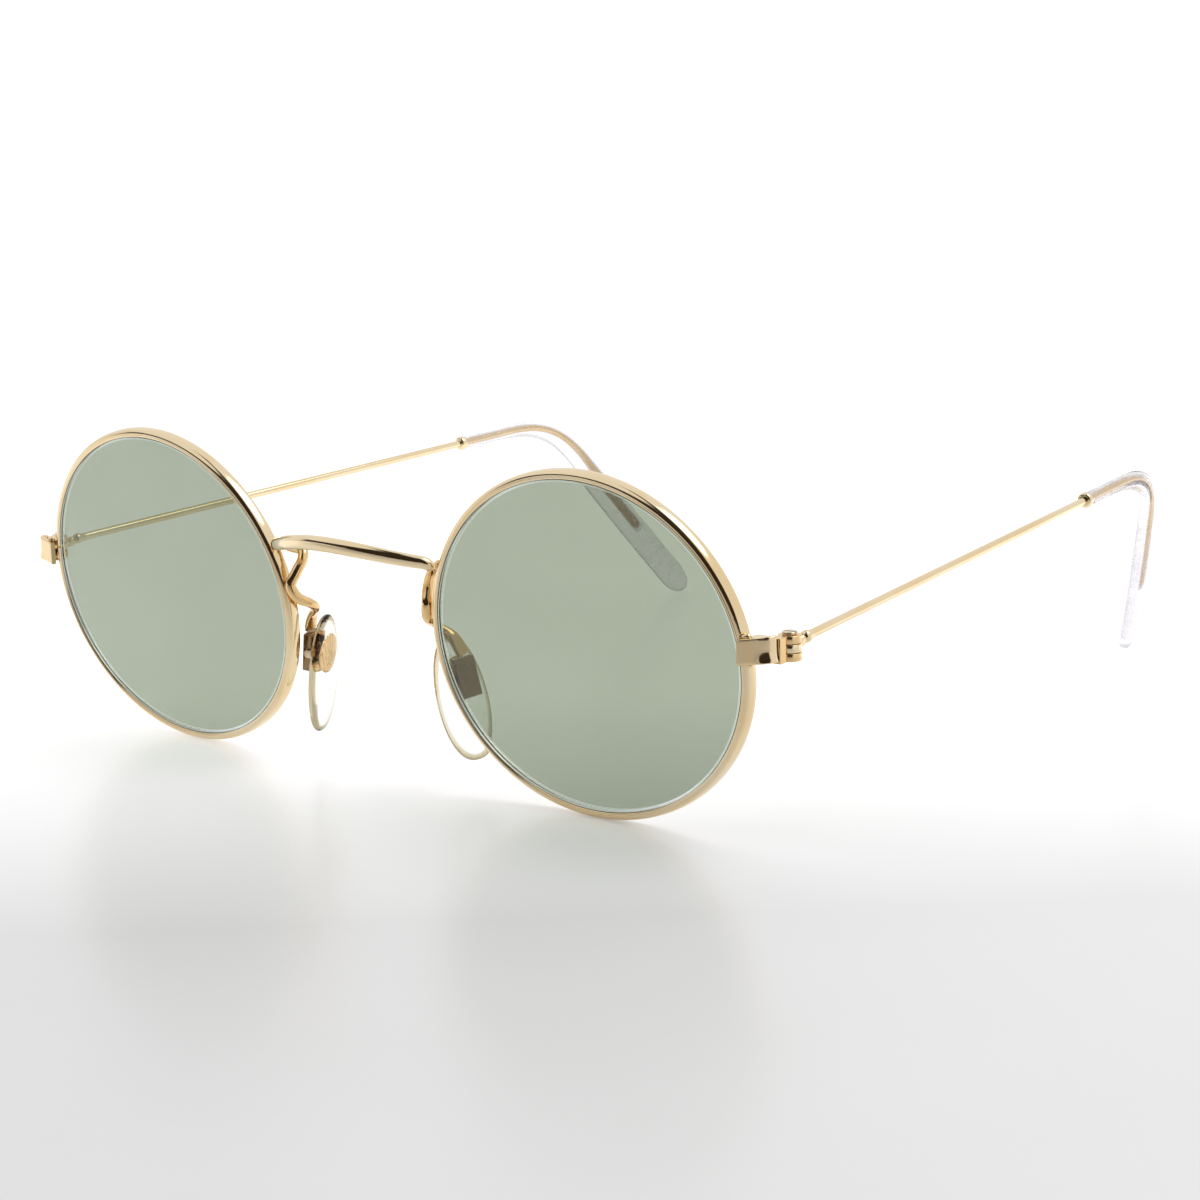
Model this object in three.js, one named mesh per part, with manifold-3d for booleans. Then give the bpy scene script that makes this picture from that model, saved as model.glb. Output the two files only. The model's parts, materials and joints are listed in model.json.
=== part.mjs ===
// Wire-rim eyeglasses: two oval lenses, an arched bridge, rocking nose pads and folding temples.
// Millimetres. X runs across the face with +X the wearer's left, the front faces -Y and Z is up.
// The pair stands open on a table at Z = 0, on the bottoms of its rims and on its two temple tips.
import * as THREE from "three";
import { mergeVertices } from "three/addons/utils/BufferGeometryUtils.js";
import Module from "manifold-3d";

const wasm = await Module();
wasm.setup();

const degrees = THREE.MathUtils.degToRad;

// ---------------------------------------------------------------- driving dimensions
const LENS_HALF_WIDTH = 22.5;
const LENS_HALF_HEIGHT = 20.2;
const LENS_TURN = degrees(8); // the oval's long axis rises towards the temple
const LENS_TAPER = -0.015; // share by which the oval is narrower above its centre than at it
const LENS_CENTRE_X = 35.95;
const LENS_SAG = 0.0012; // the lens falls back by this times the radius squared
const LENS_THICKNESS = 1.4;
const LENS_EDGE_GAP = 0.1;
const LENS_BEVEL = 0.28; // how far the lens edge reaches into the rim's groove

const FRONT_TILT = degrees(7); // the top of the front leans forward
const FRONT_WRAP = degrees(1.5); // each lens is turned back at its outer side
const FRONT_HEIGHT = 21.06; // lens centre above the table

const RIM_WIDTH = 1.0; // seen from the front
const RIM_DEPTH = 1.7; // front to back
const RIM_CHAMFER = 0.14;
const RIM_GROOVE = 0.45; // depth, and half the width, of the groove that holds the lens
const RIM_SPLIT = 0.3; // the slit that the closing screw pulls together
const RIM_STEPS = 56;

const WIRE_RADIUS = 0.54;
const JOIN_GAP = 0.08; // solder line between pieces that are brazed together
const BORE_CLEARANCE = 0.07; // radial, between a screw and the bore that turns on it

const HINGE_X = 62.6;
const HINGE_Y = 4.8;
const HINGE_Z = 23.65; // mid-height of the middle barrel
const BARREL_RADIUS = 1.35;
const BARREL_HEIGHT = 0.92;
const BARREL_PITCH = 1.0;
const HINGE_SCREW_RADIUS = 0.42;
const HINGE_HEAD_RADIUS = 0.9;
const HINGE_HEAD_HEIGHT = 0.28;
const HINGE_PLATE = { left: 61.5, right: 63.2, front: 2.2, back: 3.4 };

const STRAP_THICKNESS = 0.7;
const STRAP_HEIGHT = 3.0;
const STRAP_Z = 24.05; // mid-height at the hinge end

const LOCK_X = 60.25; // the closing screw's axis
const LOCK_Y = 2.2;
const LOCK_HALF_WIDTH = 0.75;
const LOCK_HALF_DEPTH = 0.85;
const LOCK_UPPER_HEIGHT = 0.85;
const LOCK_LOWER_HEIGHT = 1.35;
const LOCK_SPLIT_Z = 24.1; // level with the slit in the rim
const LOCK_SCREW_RADIUS = 0.36;
const LOCK_HEAD_RADIUS = 0.66;
const LOCK_HEAD_HEIGHT = 0.4;

const SLOT_HALF_WIDTH = 0.1; // screwdriver slots in both screws
const SLOT_DEPTH = 0.16;
const SHANK_OVERLAP = 0.1; // how far a shank runs into its own head

const BRIDGE_HALF_SPAN = 13.2;
const BRIDGE_FORWARD = 5.9; // how far the middle stands in front of the ends
const BRIDGE_RISE = 2.2; // how far the middle stands above the ends
const BRIDGE_END = new THREE.Vector3(14.0, 0.05, 29.0); // where the curve would meet the rim
const BRIDGE_END_RADIUS = 0.68;
const BRIDGE_MIDDLE_HALF_HEIGHT = 0.94;
const BRIDGE_MIDDLE_HALF_DEPTH = 0.78;

const TEMPLE_START = new THREE.Vector3(62.45, 7.9, 24.2);
const TEMPLE_DIRECTION = new THREE.Vector3(-6.4, 71.6, 4.35).normalize();
const STRAIGHT_LENGTH = 82; // where the ear bend begins
const EAR_BEND_LENGTH = 11.5; // the bend's top corner lies this far on along the straight
const EAR_BEND_DROP = 0.7;
const EAR_BEND_END = new THREE.Vector3(51.3, 104.7, 22.0);
const EAR_CURVE_CORNER = new THREE.Vector3(46.6, 111.0, 11.0); // pulls the paddle down and inwards
const TIP_END = new THREE.Vector3(41.3, 116.9, 0.885);

const WIRE_LENGTH = 114; // the wire stops inside the plastic tip
const FLAT_FROM = 94; // along the wire, where it starts to be beaten flat
const FLAT_FULL = 105;
const FLAT_THINNER = 0.18; // taken off its half width across
const FLAT_WIDER = 0.32; // added to its half height

const COLLAR_AT = 72.0; // distance along the straight wire
const COLLAR_RADIUS = 1.08;
const COLLAR_HALF_LENGTH = 0.6;
const COLLAR_EDGE = 0.15;

const TIP_START = COLLAR_AT + 0.75;
const TIP_RADIUS = 0.92; // of the sleeve, before it widens
const PADDLE_THICKER = 0.12; // added to the half thickness
const PADDLE_WIDER = 1.5; // added to the half width
const PADDLE_FORWARD = 0.75;
const TIP_BORE_GAP = 0.15;
const TIP_BORE_EXTRA = 1; // the blind bore goes on past the wire's end

const ARM_RADIUS = 0.6;
const ARM_FLATTENED = 0.2; // taken off one half size of the arm's foot
const ARM_BROADENED = 0.4; // added to the other

const PAD_WIDTH = 7.4;
const PAD_HEIGHT = 16;
const PAD_THICKNESS = 1.8;
const PAD_BOX = new THREE.Vector3(13.6, 5.1, 14.35); // the pad pin's centre
const PAD_TOE_IN = degrees(20); // turns the contact face back towards the nose
const PAD_SPLAY = degrees(9); // lower end outwards
const PAD_LEAN = degrees(8); // lower end back
const PAD_NARROWING = 0.05; // the pad's top is narrower than its middle by this share
const PAD_FULLNESS = 0.85; // power that makes the pad's outline fuller than an ellipse
const PAD_SQUARENESS = 0.72; // power that makes the pad's edge fuller than an ellipsoid's
const PAD_OFFSET = new THREE.Vector3(-1.75, -0.5, -2.65); // pad centre from the pin
const PAD_PIN_RADIUS = 0.3;
const PAD_PIN_HEAD_RADIUS = 0.55;
const PAD_PIN_PROUD = 0.25; // how far the pin stands out of the box at each side

const BOX_MOUTH = -0.25; // the box is open on this side, towards the pad
const BOX_BACK = 0.85;
const BOX_WIDTH = 2.8;
const BOX_HEIGHT = 5;
const BOX_WALL = 0.3;

const PLATE_WIDTH = 4.6;
const PLATE_HEIGHT = 5.2;
const PLATE_THICKNESS = 0.5;
const PLATE_X = PAD_OFFSET.x + 0.1;
const POCKET_GAP = 0.1; // between the plate and the pocket it is bedded in
const EYE_RADIUS = 0.5;
const TAB_HALF_WIDTH = 0.7;

// ---------------------------------------------------------------- materials
const gold = new THREE.MeshStandardMaterial({ color: 0xe2c7a0, roughness: 0.2, metalness: 1 });
const screwGold = new THREE.MeshStandardMaterial({ color: 0xd8bf98, roughness: 0.3, metalness: 1 });
const greenGlass = new THREE.MeshStandardMaterial({
  color: 0xa7b29f,
  roughness: 0.03,
  metalness: 0,
  transparent: true,
  opacity: 0.6,
});
const clearPlastic = new THREE.MeshStandardMaterial({
  color: 0xf2f2f4,
  roughness: 0.12,
  metalness: 0,
  transparent: true,
  opacity: 0.35,
});

// ---------------------------------------------------------------- helpers
// A closed geometry as a manifold-3d solid, and back again.
function solidOf(geometry) {
  const bare = geometry.clone();
  bare.deleteAttribute("normal");
  bare.deleteAttribute("uv");
  const merged = mergeVertices(bare, 1e-4);
  return new wasm.Manifold(
    new wasm.Mesh({
      numProp: 3,
      vertProperties: merged.attributes.position.array,
      triVerts: new Uint32Array(merged.index.array),
    }),
  );
}

function geometryOf(solid) {
  const mesh = solid.getMesh();
  const geometry = new THREE.BufferGeometry();
  geometry.setAttribute("position", new THREE.BufferAttribute(mesh.vertProperties, 3));
  geometry.setIndex(new THREE.BufferAttribute(mesh.triVerts, 1));
  geometry.computeVertexNormals();
  return geometry;
}

function joined(...geometries) {
  return geometryOf(geometries.map(solidOf).reduce((all, next) => all.add(next)));
}

function cutFrom(geometry, ...cutters) {
  return geometryOf(cutters.map(solidOf).reduce((left, next) => left.subtract(next), solidOf(geometry)));
}

// A box given by its low and high corners.
function block(low, high) {
  const size = new THREE.Vector3(...high).sub(new THREE.Vector3(...low));
  const centre = new THREE.Vector3(...high).add(new THREE.Vector3(...low)).multiplyScalar(0.5);
  return new THREE.BoxGeometry(size.x, size.y, size.z).translate(centre.x, centre.y, centre.z);
}

// An upright cylinder at (x, y) between two heights.
function post(radius, x, y, low, high, sides = 20) {
  return new THREE.CylinderGeometry(radius, radius, high - low, sides)
    .rotateX(Math.PI / 2)
    .translate(x, y, (low + high) / 2);
}

// Moves a geometry built round the Y axis, with Y from 0 to 1, onto a curve. sectionAt(t) gives the
// half sizes [across, upright] of the section, and "across" stays as close to X as the curve allows.
function bendAlong(geometry, curve, sectionAt) {
  const position = geometry.attributes.position;
  const across = new THREE.Vector3();
  const upright = new THREE.Vector3();
  for (let i = 0; i < position.count; i++) {
    const t = THREE.MathUtils.clamp(position.getY(i), 0, 1);
    const tangent = curve.getTangentAt(t);
    across.set(1, 0, 0).addScaledVector(tangent, -tangent.x).normalize();
    upright.crossVectors(across, tangent);
    const [halfAcross, halfUpright] = sectionAt(t);
    const point = curve
      .getPointAt(t)
      .addScaledVector(across, position.getX(i) * halfAcross)
      .addScaledVector(upright, position.getZ(i) * halfUpright);
    position.setXYZ(i, point.x, point.y, point.z);
  }
  geometry.computeVertexNormals();
  return geometry;
}

// A solid rod along a curve.
function rod(curve, steps, sectionAt, sides = 10) {
  const bar = new THREE.CylinderGeometry(1, 1, 1, sides, steps).translate(0, 0.5, 0);
  return bendAlong(bar, curve, sectionAt);
}

// ---------------------------------------------------------------- lens outline
// A point of the oval at an angle, moved outwards by grow, in the lens's own X and Z.
function outlinePoint(angle, grow = 0) {
  const along = (a) =>
    new THREE.Vector2(
      LENS_HALF_WIDTH * Math.cos(a) * (1 + LENS_TAPER * Math.sin(a)),
      LENS_HALF_HEIGHT * Math.sin(a),
    );
  const step = 1e-3;
  const tangent = along(angle + step).sub(along(angle - step)).normalize();
  const outward = new THREE.Vector2(tangent.y, -tangent.x);
  return along(angle).addScaledVector(outward, grow).rotateAround(new THREE.Vector2(), LENS_TURN);
}

function sagAt(x, z) {
  return LENS_SAG * (x * x + z * z);
}

// The rim's path round the lens, from one side of the slit to the other.
class RimPath extends THREE.Curve {
  getPoint(t, target = new THREE.Vector3()) {
    const half = RIM_SPLIT / 2 / LENS_HALF_WIDTH;
    const p = outlinePoint(THREE.MathUtils.lerp(half, 2 * Math.PI - half, t));
    return target.set(p.x, sagAt(p.x, p.y), p.y);
  }
}

// ---------------------------------------------------------------- front: rims and lenses
// Section of the eyewire: first number towards the front, second away from the lens.
function rimGeometry() {
  const c = RIM_CHAMFER;
  const middle = RIM_DEPTH / 2;
  const section = new THREE.Shape(
    [
      [-c, 0],
      [0, c],
      [0, RIM_WIDTH - c],
      [-c, RIM_WIDTH],
      [-RIM_DEPTH + c, RIM_WIDTH],
      [-RIM_DEPTH, RIM_WIDTH - c],
      [-RIM_DEPTH, c],
      [-RIM_DEPTH + c, 0],
      [-middle - RIM_GROOVE, 0],
      [-middle, RIM_GROOVE],
      [-middle + RIM_GROOVE, 0],
    ].map(([x, y]) => new THREE.Vector2(x, y)),
  );
  return new THREE.ExtrudeGeometry(section, { extrudePath: new RimPath(), steps: RIM_STEPS });
}

// The lens is turned as a round disc with a V edge, then stretched to the oval.
function lensGeometry() {
  const r = LENS_HALF_WIDTH;
  const middle = RIM_DEPTH / 2;
  const front = middle - LENS_THICKNESS / 2;
  const back = middle + LENS_THICKNESS / 2;
  const edge = r - LENS_EDGE_GAP;
  const profile = [
    [0, front],
    [r * 0.4, front],
    [r * 0.75, front],
    [edge, front],
    [edge, middle - LENS_BEVEL],
    [r + LENS_BEVEL, middle],
    [edge, middle + LENS_BEVEL],
    [edge, back],
    [r * 0.75, back],
    [r * 0.4, back],
    [0, back],
  ].map(([x, y]) => new THREE.Vector2(x, y));
  const geometry = new THREE.LatheGeometry(profile, 48);
  const position = geometry.attributes.position;
  for (let i = 0; i < position.count; i++) {
    const radius = Math.hypot(position.getX(i), position.getZ(i));
    const angle = Math.atan2(position.getZ(i), position.getX(i));
    const p = outlinePoint(angle, Math.max(radius - r, 0)).multiplyScalar(Math.min(radius / r, 1));
    position.setXYZ(i, p.x, position.getY(i) + sagAt(p.x, p.y), p.y);
  }
  return geometry;
}

// ---------------------------------------------------------------- front: bridge
// An arch that stands forward of the rims and a little above its own ends.
class BridgePath extends THREE.Curve {
  getPoint(t, target = new THREE.Vector3()) {
    const x = THREE.MathUtils.lerp(-BRIDGE_HALF_SPAN, BRIDGE_HALF_SPAN, t);
    const share = (x / BRIDGE_END.x) ** 2;
    const back = BRIDGE_FORWARD * (0.88 * share + 0.12 * share * share);
    const fall = BRIDGE_RISE * (1.35 * share - 0.35 * share * share);
    return target.set(x, BRIDGE_END.y - BRIDGE_FORWARD + back, BRIDGE_END.z + BRIDGE_RISE - fall);
  }
}

function bridgeGeometry() {
  const along = new BridgePath();
  const bar = new THREE.CylinderGeometry(1, 1, 1, 10, 22).translate(0, 0.5, 0);
  // The bridge runs along X, so its frame is laid out by hand: upright is Z.
  const position = bar.attributes.position;
  const up = new THREE.Vector3(0, 0, 1);
  for (let i = 0; i < position.count; i++) {
    const t = THREE.MathUtils.clamp(position.getY(i), 0, 1);
    const tangent = along.getTangentAt(t);
    const upright = up.clone().addScaledVector(tangent, -tangent.z).normalize();
    const deep = new THREE.Vector3().crossVectors(tangent, upright);
    const fullness = Math.sin(Math.PI * t) ** 0.5;
    const halfHeight = THREE.MathUtils.lerp(BRIDGE_END_RADIUS, BRIDGE_MIDDLE_HALF_HEIGHT, fullness);
    const halfDepth = THREE.MathUtils.lerp(BRIDGE_END_RADIUS, BRIDGE_MIDDLE_HALF_DEPTH, fullness);
    const point = along
      .getPointAt(t)
      .addScaledVector(deep, position.getX(i) * halfDepth)
      .addScaledVector(upright, position.getZ(i) * halfHeight);
    position.setXYZ(i, point.x, point.y, point.z);
  }
  bar.computeVertexNormals();
  return bar;
}

// ---------------------------------------------------------------- endpiece, rim lock and hinge
// The strap lies on the rim's front face, in line with the oval's long axis, and curls back outside.
function strapGeometry() {
  const start = new THREE.Vector2(58.95, -0.16); // on the rim's front face
  const bendStart = new THREE.Vector2(61.5, 0.45);
  const corner = new THREE.Vector2(62.9, 0.8);
  const end = new THREE.Vector2(62.95, 2.1); // against the hinge plate
  const inset = STRAP_THICKNESS;
  const outline = new THREE.Shape();
  outline.moveTo(start.x, start.y);
  outline.lineTo(bendStart.x, bendStart.y);
  outline.quadraticCurveTo(corner.x, corner.y, end.x, end.y);
  outline.lineTo(end.x - inset, end.y);
  outline.quadraticCurveTo(corner.x - inset, corner.y + inset, bendStart.x - 0.1, bendStart.y + inset);
  outline.lineTo(start.x, start.y + inset);
  const strap = new THREE.ExtrudeGeometry(outline, {
    depth: STRAP_HEIGHT,
    bevelEnabled: false,
    curveSegments: 6,
  });
  // Its two ends stay upright while it rises towards the hinge.
  const rise = new THREE.Matrix4().makeShear(0, Math.tan(LENS_TURN), 0, 0, 0, 0);
  return strap
    .translate(-end.x, 0, -STRAP_HEIGHT / 2)
    .applyMatrix4(rise)
    .translate(end.x, 0, STRAP_Z);
}

// One half of the rim lock: a small block beside the rim, bored for the closing screw.
function lockGeometry(low, high) {
  const body = block(
    [LOCK_X - LOCK_HALF_WIDTH, LOCK_Y - LOCK_HALF_DEPTH, low],
    [LOCK_X + LOCK_HALF_WIDTH, LOCK_Y + LOCK_HALF_DEPTH, high],
  );
  const bore = post(LOCK_SCREW_RADIUS + BORE_CLEARANCE, LOCK_X, LOCK_Y, low - 1, high + 1, 16);
  return cutFrom(body, bore);
}

function upperLockGeometry() {
  const low = LOCK_SPLIT_Z + RIM_SPLIT / 2;
  return lockGeometry(low, low + LOCK_UPPER_HEIGHT);
}

function lowerLockGeometry() {
  const high = LOCK_SPLIT_Z - RIM_SPLIT / 2;
  return lockGeometry(high - LOCK_LOWER_HEIGHT, high);
}

// A slot across a screw head at (x, y), from one height to another.
function screwSlot(x, y, low, high) {
  return block([x - 1, y - SLOT_HALF_WIDTH, low], [x + 1, y + SLOT_HALF_WIDTH, high]);
}

function lockScrewGeometry() {
  const headTop = LOCK_SPLIT_Z - RIM_SPLIT / 2 - LOCK_LOWER_HEIGHT - JOIN_GAP;
  const headBottom = headTop - LOCK_HEAD_HEIGHT;
  const shankTop = LOCK_SPLIT_Z + RIM_SPLIT / 2 + LOCK_UPPER_HEIGHT;
  const shank = post(LOCK_SCREW_RADIUS, LOCK_X, LOCK_Y, headTop - SHANK_OVERLAP, shankTop, 16);
  const head = post(LOCK_HEAD_RADIUS, LOCK_X, LOCK_Y, headBottom, headTop, 16);
  return cutFrom(joined(shank, head), screwSlot(LOCK_X, LOCK_Y, headBottom - 1, headBottom + SLOT_DEPTH));
}

function barrelSpan(level) {
  const middle = HINGE_Z + level * BARREL_PITCH;
  return [middle - BARREL_HEIGHT / 2, middle + BARREL_HEIGHT / 2];
}

function hingeBore() {
  return post(HINGE_SCREW_RADIUS + BORE_CLEARANCE, HINGE_X, HINGE_Y, HINGE_Z - 4, HINGE_Z + 4);
}

// Upper and lower barrels on one base plate behind the strap.
function frontHingeGeometry() {
  const [bottom] = barrelSpan(-1);
  const [, top] = barrelSpan(1);
  const { left, right, front, back } = HINGE_PLATE;
  const pieces = [block([left, front, bottom], [right, back, top])];
  for (const level of [-1, 1]) {
    const [low, high] = barrelSpan(level);
    pieces.push(post(BARREL_RADIUS, HINGE_X, HINGE_Y, low, high));
    pieces.push(block([left + 0.4, front + 0.8, low], [right, HINGE_Y, high]));
  }
  return cutFrom(joined(...pieces), hingeBore());
}

// Middle barrel with the tail that carries the temple wire on its raised end.
function templeHingeGeometry() {
  const [low, high] = barrelSpan(0);
  const barrel = post(BARREL_RADIUS, HINGE_X, HINGE_Y, low, high);
  const left = HINGE_X - 0.65;
  const right = HINGE_X + 0.5;
  const end = TEMPLE_START.y - 2 * JOIN_GAP;
  const tail = block([left, HINGE_Y, low], [right, end, high]);
  const riserFront = HINGE_Y + BARREL_RADIUS + 0.2;
  const riser = block([left, riserFront, low], [right, end, TEMPLE_START.z + WIRE_RADIUS]);
  return cutFrom(joined(barrel, tail, riser), hingeBore());
}

function hingeScrewGeometry() {
  const [bottom] = barrelSpan(-1);
  const [, top] = barrelSpan(1);
  const headBottom = top + JOIN_GAP;
  const headTop = headBottom + HINGE_HEAD_HEIGHT;
  const shankBottom = bottom - 0.35;
  const shank = post(HINGE_SCREW_RADIUS, HINGE_X, HINGE_Y, shankBottom, headBottom + SHANK_OVERLAP);
  const head = post(HINGE_HEAD_RADIUS, HINGE_X, HINGE_Y, headBottom, headTop);
  return cutFrom(joined(shank, head), screwSlot(HINGE_X, HINGE_Y, headTop - SLOT_DEPTH, headTop + 1));
}

// ---------------------------------------------------------------- temple
function templePoint(distance) {
  return TEMPLE_START.clone().addScaledVector(TEMPLE_DIRECTION, distance);
}

// The whole side piece from hinge to tip: straight, round the ear, then down and inwards.
function templePath(fromDistance) {
  const bendStart = templePoint(STRAIGHT_LENGTH);
  const bendMiddle = templePoint(STRAIGHT_LENGTH + 6);
  const bendTop = templePoint(STRAIGHT_LENGTH + EAR_BEND_LENGTH);
  bendTop.z -= EAR_BEND_DROP;
  const path = new THREE.CurvePath();
  path.add(new THREE.LineCurve3(templePoint(fromDistance), bendStart));
  path.add(new THREE.CubicBezierCurve3(bendStart, bendMiddle, bendTop, EAR_BEND_END));
  path.add(new THREE.QuadraticBezierCurve3(EAR_BEND_END, EAR_CURVE_CORNER, TIP_END));
  return path;
}

// The first part of a path, up to a share of its length.
class ShareOfPath extends THREE.Curve {
  constructor(path, share) {
    super();
    this.path = path;
    this.share = share;
  }
  getPoint(t) {
    return this.path.getPoint(t * this.share);
  }
}

// Round along the straight, then beaten flat where the plastic tip grips it.
function wireHalfSizes(distance) {
  const flat = THREE.MathUtils.smoothstep(distance, FLAT_FROM, FLAT_FULL);
  return [WIRE_RADIUS - FLAT_THINNER * flat, WIRE_RADIUS + FLAT_WIDER * flat];
}

function templeWireGeometry() {
  const whole = templePath(0);
  const wire = new ShareOfPath(whole, WIRE_LENGTH / whole.getLength());
  return rod(wire, 44, (t) => wireHalfSizes(t * WIRE_LENGTH), 9);
}

function collarGeometry() {
  const bore = WIRE_RADIUS + JOIN_GAP;
  const half = COLLAR_HALF_LENGTH;
  const ring = [
    [bore, -half],
    [COLLAR_RADIUS - COLLAR_EDGE, -half],
    [COLLAR_RADIUS, -half + COLLAR_EDGE],
    [COLLAR_RADIUS, half - COLLAR_EDGE],
    [COLLAR_RADIUS - COLLAR_EDGE, half],
    [bore, half],
    [bore, -half],
  ].map(([x, y]) => new THREE.Vector2(x, y));
  const geometry = new THREE.LatheGeometry(ring, 20);
  const turn = new THREE.Quaternion().setFromUnitVectors(new THREE.Vector3(0, 1, 0), TEMPLE_DIRECTION);
  const at = templePoint(COLLAR_AT);
  return geometry.applyQuaternion(turn).translate(at.x, at.y, at.z);
}

// A clear sleeve with a blind bore for the wire. Behind the ear it widens, mostly forwards, to a
// flat paddle.
function tipGeometry() {
  const path = templePath(TIP_START);
  const length = path.getLength();
  const boreDepth = (WIRE_LENGTH + TIP_BORE_EXTRA - TIP_START) / length;
  const boreMark = 0.5; // marks the bore's points in the profile, before they get their real sizes
  const boreSteps = 18;
  const outsideSteps = 24;
  const roundFrom = 0.97;
  const profile = [new THREE.Vector2(0, boreDepth)];
  for (let i = boreSteps; i >= 0; i--) {
    profile.push(new THREE.Vector2(boreMark, (boreDepth * i) / boreSteps));
  }
  for (let i = 0; i <= outsideSteps; i++) {
    profile.push(new THREE.Vector2(1, (roundFrom * i) / outsideSteps));
  }
  for (const angle of [degrees(30), degrees(60), degrees(90)]) {
    const t = roundFrom + (1 - roundFrom) * Math.sin(angle);
    profile.push(new THREE.Vector2(angle === degrees(90) ? 0 : Math.cos(angle), t));
  }
  const sleeve = new THREE.LatheGeometry(profile, 12);
  const position = sleeve.attributes.position;
  for (let i = 0; i < position.count; i++) {
    const t = position.getY(i);
    const radius = Math.hypot(position.getX(i), position.getZ(i));
    const inBore = t <= boreDepth + 1e-6 && radius < boreMark + 1e-6;
    const [wireAcross, wireUpright] = wireHalfSizes(TIP_START + t * length);
    const paddle = THREE.MathUtils.smoothstep(t, 0.1, 0.6);
    if (inBore) {
      position.setX(i, (position.getX(i) * (wireAcross + TIP_BORE_GAP)) / boreMark);
      position.setZ(i, (position.getZ(i) * (wireUpright + TIP_BORE_GAP)) / boreMark);
    } else {
      position.setX(i, position.getX(i) * (TIP_RADIUS + PADDLE_THICKER * paddle));
      position.setZ(i, position.getZ(i) * (TIP_RADIUS + PADDLE_WIDER * paddle) - PADDLE_FORWARD * paddle);
    }
  }
  return bendAlong(sleeve, path, () => [1, 1]);
}

// ---------------------------------------------------------------- nose pads
// A wire that drops from under the bridge, bows forward, loops back and comes down to the pad box.
function padArmGeometry() {
  const path = new THREE.CatmullRomCurve3(
    [
      [12.9, 1.65, 28.4],
      [11.7, 2.2, 28.0],
      [11.15, 1.75, 27.0],
      [11.45, 0.8, 25.4],
      [11.85, 0.15, 23.8],
      [11.35, 0.7, 22.2],
      [10.6, 2.3, 21.2],
      [11.2, 3.6, 20.4],
      [12.5, 4.3, 19.4],
      [13.4, 4.7, 17.9],
      [13.65, 4.92, 17.07],
    ].map((p) => new THREE.Vector3(...p)),
  );
  const sectionAt = (t) => {
    const flat = THREE.MathUtils.smoothstep(t, 0.7, 0.95);
    return [ARM_RADIUS - ARM_FLATTENED * flat, ARM_RADIUS + ARM_BROADENED * flat];
  };
  return rod(path, 30, sectionAt, 8);
}

// Pad pieces share a frame: +X away from the nose, +Y back, +Z up, origin in the pad box.
function pinAlongY(radius, halfLength, sides = 16) {
  return new THREE.CylinderGeometry(radius, radius, 2 * halfLength, sides);
}

// A shallow box open towards the pad, with the pin's holes in its two side walls.
function padBoxGeometry() {
  const outer = block(
    [BOX_MOUTH, -BOX_WIDTH / 2, -BOX_HEIGHT / 2],
    [BOX_BACK, BOX_WIDTH / 2, BOX_HEIGHT / 2],
  );
  const hollow = block(
    [BOX_MOUTH - 1, -BOX_WIDTH / 2 + BOX_WALL, -BOX_HEIGHT / 2 + BOX_WALL],
    [BOX_BACK - BOX_WALL, BOX_WIDTH / 2 - BOX_WALL, BOX_HEIGHT / 2 - BOX_WALL],
  );
  return cutFrom(outer, hollow, pinAlongY(PAD_PIN_RADIUS + BORE_CLEARANCE, BOX_WIDTH));
}

function padPinGeometry() {
  const half = BOX_WIDTH / 2;
  const headHalf = (PAD_PIN_PROUD + 0.01) / 2;
  const shank = pinAlongY(PAD_PIN_RADIUS, half + PAD_PIN_PROUD);
  const head = pinAlongY(PAD_PIN_HEAD_RADIUS, headHalf).translate(0, -half - JOIN_GAP - headHalf, 0);
  return joined(shank, head);
}

// An oval plate bedded in the pad, with a bored tab that reaches into the box.
function padInsertGeometry() {
  const plate = new THREE.CylinderGeometry(1, 1, PLATE_THICKNESS, 24)
    .rotateZ(Math.PI / 2)
    .scale(1, PLATE_WIDTH / 2, PLATE_HEIGHT / 2)
    .translate(PLATE_X, 0, 0);
  const tab = block([PAD_OFFSET.x, -TAB_HALF_WIDTH, -EYE_RADIUS], [0, TAB_HALF_WIDTH, EYE_RADIUS]);
  const eye = pinAlongY(EYE_RADIUS, TAB_HALF_WIDTH);
  const bore = pinAlongY(PAD_PIN_RADIUS + BORE_CLEARANCE, 2);
  return cutFrom(joined(plate, tab, eye), bore);
}

// A soft clear pad, rounded all over, with a pocket for the plate.
function padGeometry() {
  const pad = new THREE.SphereGeometry(1, 20, 14).rotateX(Math.PI / 2);
  const position = pad.attributes.position;
  for (let i = 0; i < position.count; i++) {
    const up = position.getZ(i);
    const girth = Math.max(Math.hypot(position.getX(i), position.getY(i)), 0.01);
    const fuller = girth ** (PAD_FULLNESS - 1);
    const side = position.getY(i) * fuller;
    const out = position.getX(i) * fuller;
    const narrow = 1 - PAD_NARROWING * up;
    position.setXYZ(
      i,
      (Math.sign(out) * Math.abs(out) ** PAD_SQUARENESS * PAD_THICKNESS) / 2,
      (side * narrow * PAD_WIDTH) / 2,
      (up * PAD_HEIGHT) / 2,
    );
  }
  pad.translate(PAD_OFFSET.x, PAD_OFFSET.y, PAD_OFFSET.z);
  const pocketDepth = 4; // comes out at the pad's back
  const pocketFloor = PLATE_X - PLATE_THICKNESS / 2 - POCKET_GAP;
  const pocket = new THREE.CylinderGeometry(1, 1, pocketDepth, 24)
    .rotateZ(Math.PI / 2)
    .scale(1, PLATE_WIDTH / 2 + POCKET_GAP, PLATE_HEIGHT / 2 + POCKET_GAP)
    .translate(pocketFloor + pocketDepth / 2, 0, 0);
  return cutFrom(pad, pocket);
}

// ---------------------------------------------------------------- assembly
const eyeglasses = new THREE.Group();

function addMesh(group, name, geometry, material) {
  const mesh = new THREE.Mesh(geometry, material);
  mesh.name = name;
  group.add(mesh);
}

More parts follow.
